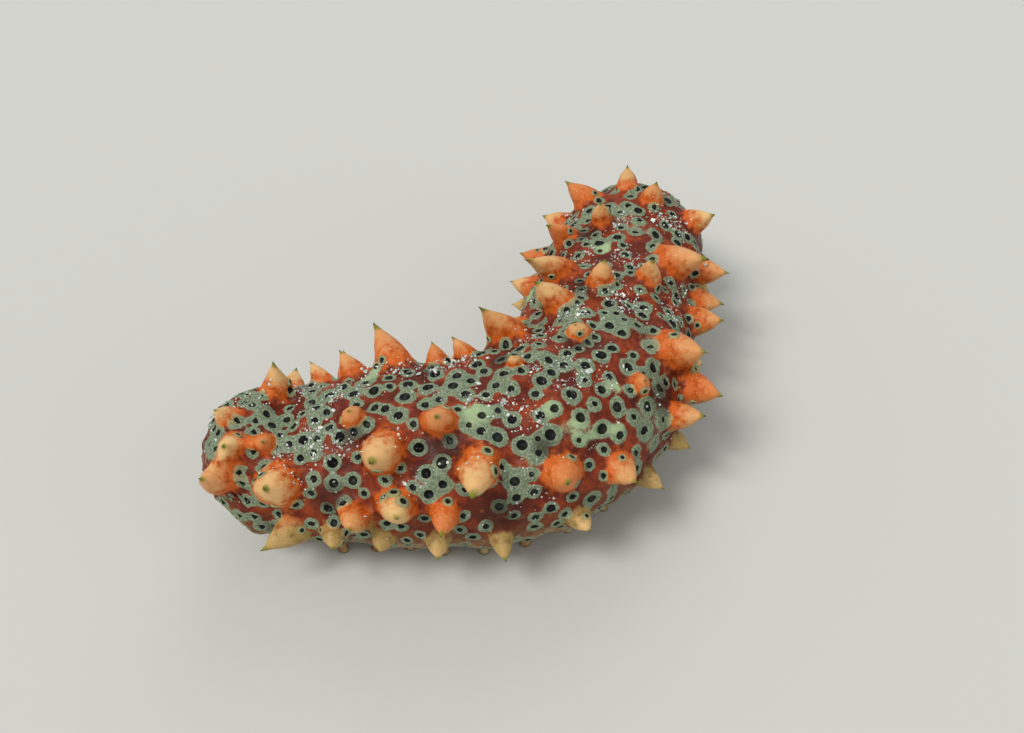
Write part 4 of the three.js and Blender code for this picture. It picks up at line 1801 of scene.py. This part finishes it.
@dataclass(frozen=True)
class VentParts:
    """The puckered rim of the vent, with small papillae round its hole.

    The profile gives the rim's radii and levels, from the hole over the mound to its hidden back.
    """

    radii: tuple[float, ...] = (
        0.15, 0.8, 1.2, 1.4, 1.6, 1.8, 2.2, 2.7, 3.1, 3.45, 3.7, 3.7, 2.0, 0.3,
    )
    levels: tuple[float, ...] = (
        0.02, 0.03, 0.1, 0.4, 0.8, 1.05, 1.27, 1.3, 1.15, 0.75, 0.2, -0.5, -0.5, -0.5,
    )
    sides: int = 140
    pleats: int = 14
    pleat_high: float = 0.3
    papillae: int = 5
    papilla_at: float = 2.7
    papilla_wide: float = 0.42
    papilla_high: float = 1.9

    def build(self, trunk: Trunk) -> Piece:
        """Makes the rim: a pleated mound turned round the vent, with five papillae rising from it.

        Args:
            trunk: the trunk.

        Returns:
            The rim, with a tip attribute for the papillae's ends and a hollow one that paints the
            hole dark as shade.
        """
        radius = np.array(self.radii)[:, None]
        level = np.array(self.levels)[:, None]
        turn = circle(self.sides)[None, :]
        bulge = smooth(radius, 1.3, 2.2) * (1.0 - smooth(radius, 3.3, 3.7))
        pleat = (np.abs(np.sin(turn * self.pleats / 2.0)) - 0.6) * self.pleat_high * bulge
        near = np.cos(self.papillae * turn) * 0.5 + 0.5
        thorn = near**14 * np.exp(-(((radius - self.papilla_at) / self.papilla_wide) ** 2))
        thorn = thorn * self.papilla_high * (level > 0.5)
        height = level + pleat * (level > 0.0) + thorn
        points = VENT.place(trunk, radius * np.cos(turn), radius * np.sin(turn), height)
        # Painted shade: the hole's flat floor is painted dark, as a hole in shade.
        hollow = 1.0 - smooth(radius + 0.0 * turn, 1.3, 1.75)
        faces = flipped(tube_faces(*height.shape))
        return make_piece("vent", points, faces, tip=smooth(thorn, 0.7, 1.6), hollow=hollow)


# ---- the studio


@dataclass(frozen=True)
class Lamp:
    """A broad, even light: its place in metres, breadth in degrees, strength and tint."""

    name: str
    place: tuple[float, float, float]
    size: float
    power: float
    tint: tuple[float, float, float]

    def build(self) -> None:
        """Adds the light, which shines from its place towards the object."""
        data = bpy.data.lights.new(self.name, "SUN")
        data.angle = math.radians(self.size)
        data.energy = self.power
        data.color = self.tint
        lamp = add_object(self.name, data)
        lamp.location = self.place
        x, y, z = self.place
        lamp.rotation_euler = (math.atan2(math.hypot(x, y), z), 0.0, math.atan2(x, -y))


@dataclass(frozen=True)
class Studio:
    """A plain pale floor, soft lights, and the camera at the photo's angle."""

    target: tuple[float, float, float] = (4.83, -1.98, 13.0)
    distance: float = 250.0
    elevation: float = 42.0
    view: float = 45.0
    floor_half: float = 1500.0
    floor: tuple = colour(0.80, 0.80, 0.78)
    floor_dullness: float = 0.8
    air: tuple[float, float, float, float] = (0.95, 0.96, 0.95, 1.0)
    air_strength: float = 0.42
    lamps: tuple[Lamp, ...] = (
        Lamp("key", (-0.24, -0.18, 0.42), 24.0, 2.0, (1.0, 0.99, 0.96)),
        Lamp("fill", (0.36, -0.26, 0.28), 50.0, 0.35, (0.94, 0.98, 1.0)),
        Lamp("rim", (0.08, 0.42, 0.30), 40.0, 0.5, (0.97, 0.99, 1.0)),
    )

    def camera(self) -> None:
        """Sets the camera: it looks along +Y and down at the target."""
        slope = math.radians(self.elevation)
        data = bpy.data.cameras.new("camera")
        data.sensor_fit = "HORIZONTAL"
        data.angle = math.radians(self.view)
        data.clip_start = 0.005
        camera = add_object("camera", data)
        x, y, z = (one * MM for one in self.target)
        reach = self.distance * MM
        camera.location = (x, y - reach * math.cos(slope), z + reach * math.sin(slope))
        camera.rotation_euler = (math.pi / 2.0 - slope, 0.0, 0.0)
        bpy.context.scene.camera = camera

    def build(self) -> None:
        """Sets up the floor, the lights, the surrounding light and the camera."""
        corners = np.array([[-1, -1, 0], [1, -1, 0], [1, 1, 0], [-1, 1, 0]]) * self.floor_half
        floor = make_piece("floor", corners, [[0, 1, 2, 3]], rounded=False)
        paint, _, shader = new_material("studio_floor")
        shader.inputs["Base Color"].default_value = self.floor
        shader.inputs["Roughness"].default_value = self.floor_dullness
        floor.data.materials.append(paint)
        world = bpy.data.worlds.new("studio")
        world.use_nodes = True
        background = world.node_tree.nodes["Background"]
        background.inputs["Color"].default_value = self.air
        background.inputs["Strength"].default_value = self.air_strength
        bpy.context.scene.world = world
        for lamp in self.lamps:
            lamp.build()
        bpy.context.scene.view_settings.view_transform = "Standard"
        self.camera()


def finish_piece(
    piece: Piece,
    material: bpy.types.Material,
    slot: Slot,
    *replaced: str,
) -> None:
    """Dresses a piece, sets it on the body and hides the solids that it replaces.

    Args:
        piece: the piece.
        material: its finish.
        slot: the record's slot; not used.
        replaced: the solids that it replaces.
    """
    piece.data.materials.append(material)
    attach(piece, "root")
    if replaced:
        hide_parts(*replaced)
    LOG.info("%s: %d faces", piece.name, len(piece.data.polygons))


def main() -> None:
    """Builds the pieces in order."""
    logging.basicConfig(level=logging.INFO, format="%(message)s")
    group = wet_grain_group()
    trunk = Trunk()
    pattern = PapillaPattern()
    papillae = pattern.papillae(trunk)
    LOG.info("papillae: %d", len(papillae))
    skin = Skin(trunk, papillae)
    lengths = ("front_end", "fore_body", "mid_body", "bend", "hind_body", "rear_body", "rear_end")
    finish_piece(skin.build(), SkinFinish("back_skin").build(group), Slot.SKIN, *lengths)
    pale = MottledFinish("pale_flesh").build(group)
    sucker = MottledFinish(
        "tube_foot",
        first=colour(0.80, 0.70, 0.50),
        second=colour(0.68, 0.50, 0.30),
        tip=colour(0.30, 0.26, 0.14),
    ).build(group)
    tentacle = MottledFinish(
        "tentacle_flesh",
        first=colour(0.84, 0.70, 0.42),
        second=colour(0.74, 0.56, 0.30),
        tip=colour(0.50, 0.50, 0.22),
        softness=0.2,
    ).build(group)
    cups = MottledFinish(
        "cup_flesh",
        first=colour(0.66, 0.63, 0.44),
        second=colour(0.52, 0.55, 0.42),
        # Painted shade in the cups' hollows.
        hollow=colour(0.05, 0.06, 0.03),
    ).build(group)
    mouth = MouthParts()
    finish_piece(TubeFeet().build(trunk, pattern), sucker, Slot.PALE)
    finish_piece(mouth.lips(trunk), pale, Slot.PALE, "mouth_lips")
    finish_piece(mouth.crown(trunk), tentacle, Slot.TENTACLES, "tentacle_crown")
    finish_piece(VentParts().build(trunk), pale, Slot.PALE, "vent_rim")
    finish_piece(PapillaCups().build(skin), cups, Slot.PALE)
    finish_piece(SandDusting().build(skin), SandFinish().build(), Slot.PALE)
    Studio().build()
    bpy.context.view_layer.update()


if __name__ == "__main__":
    main()
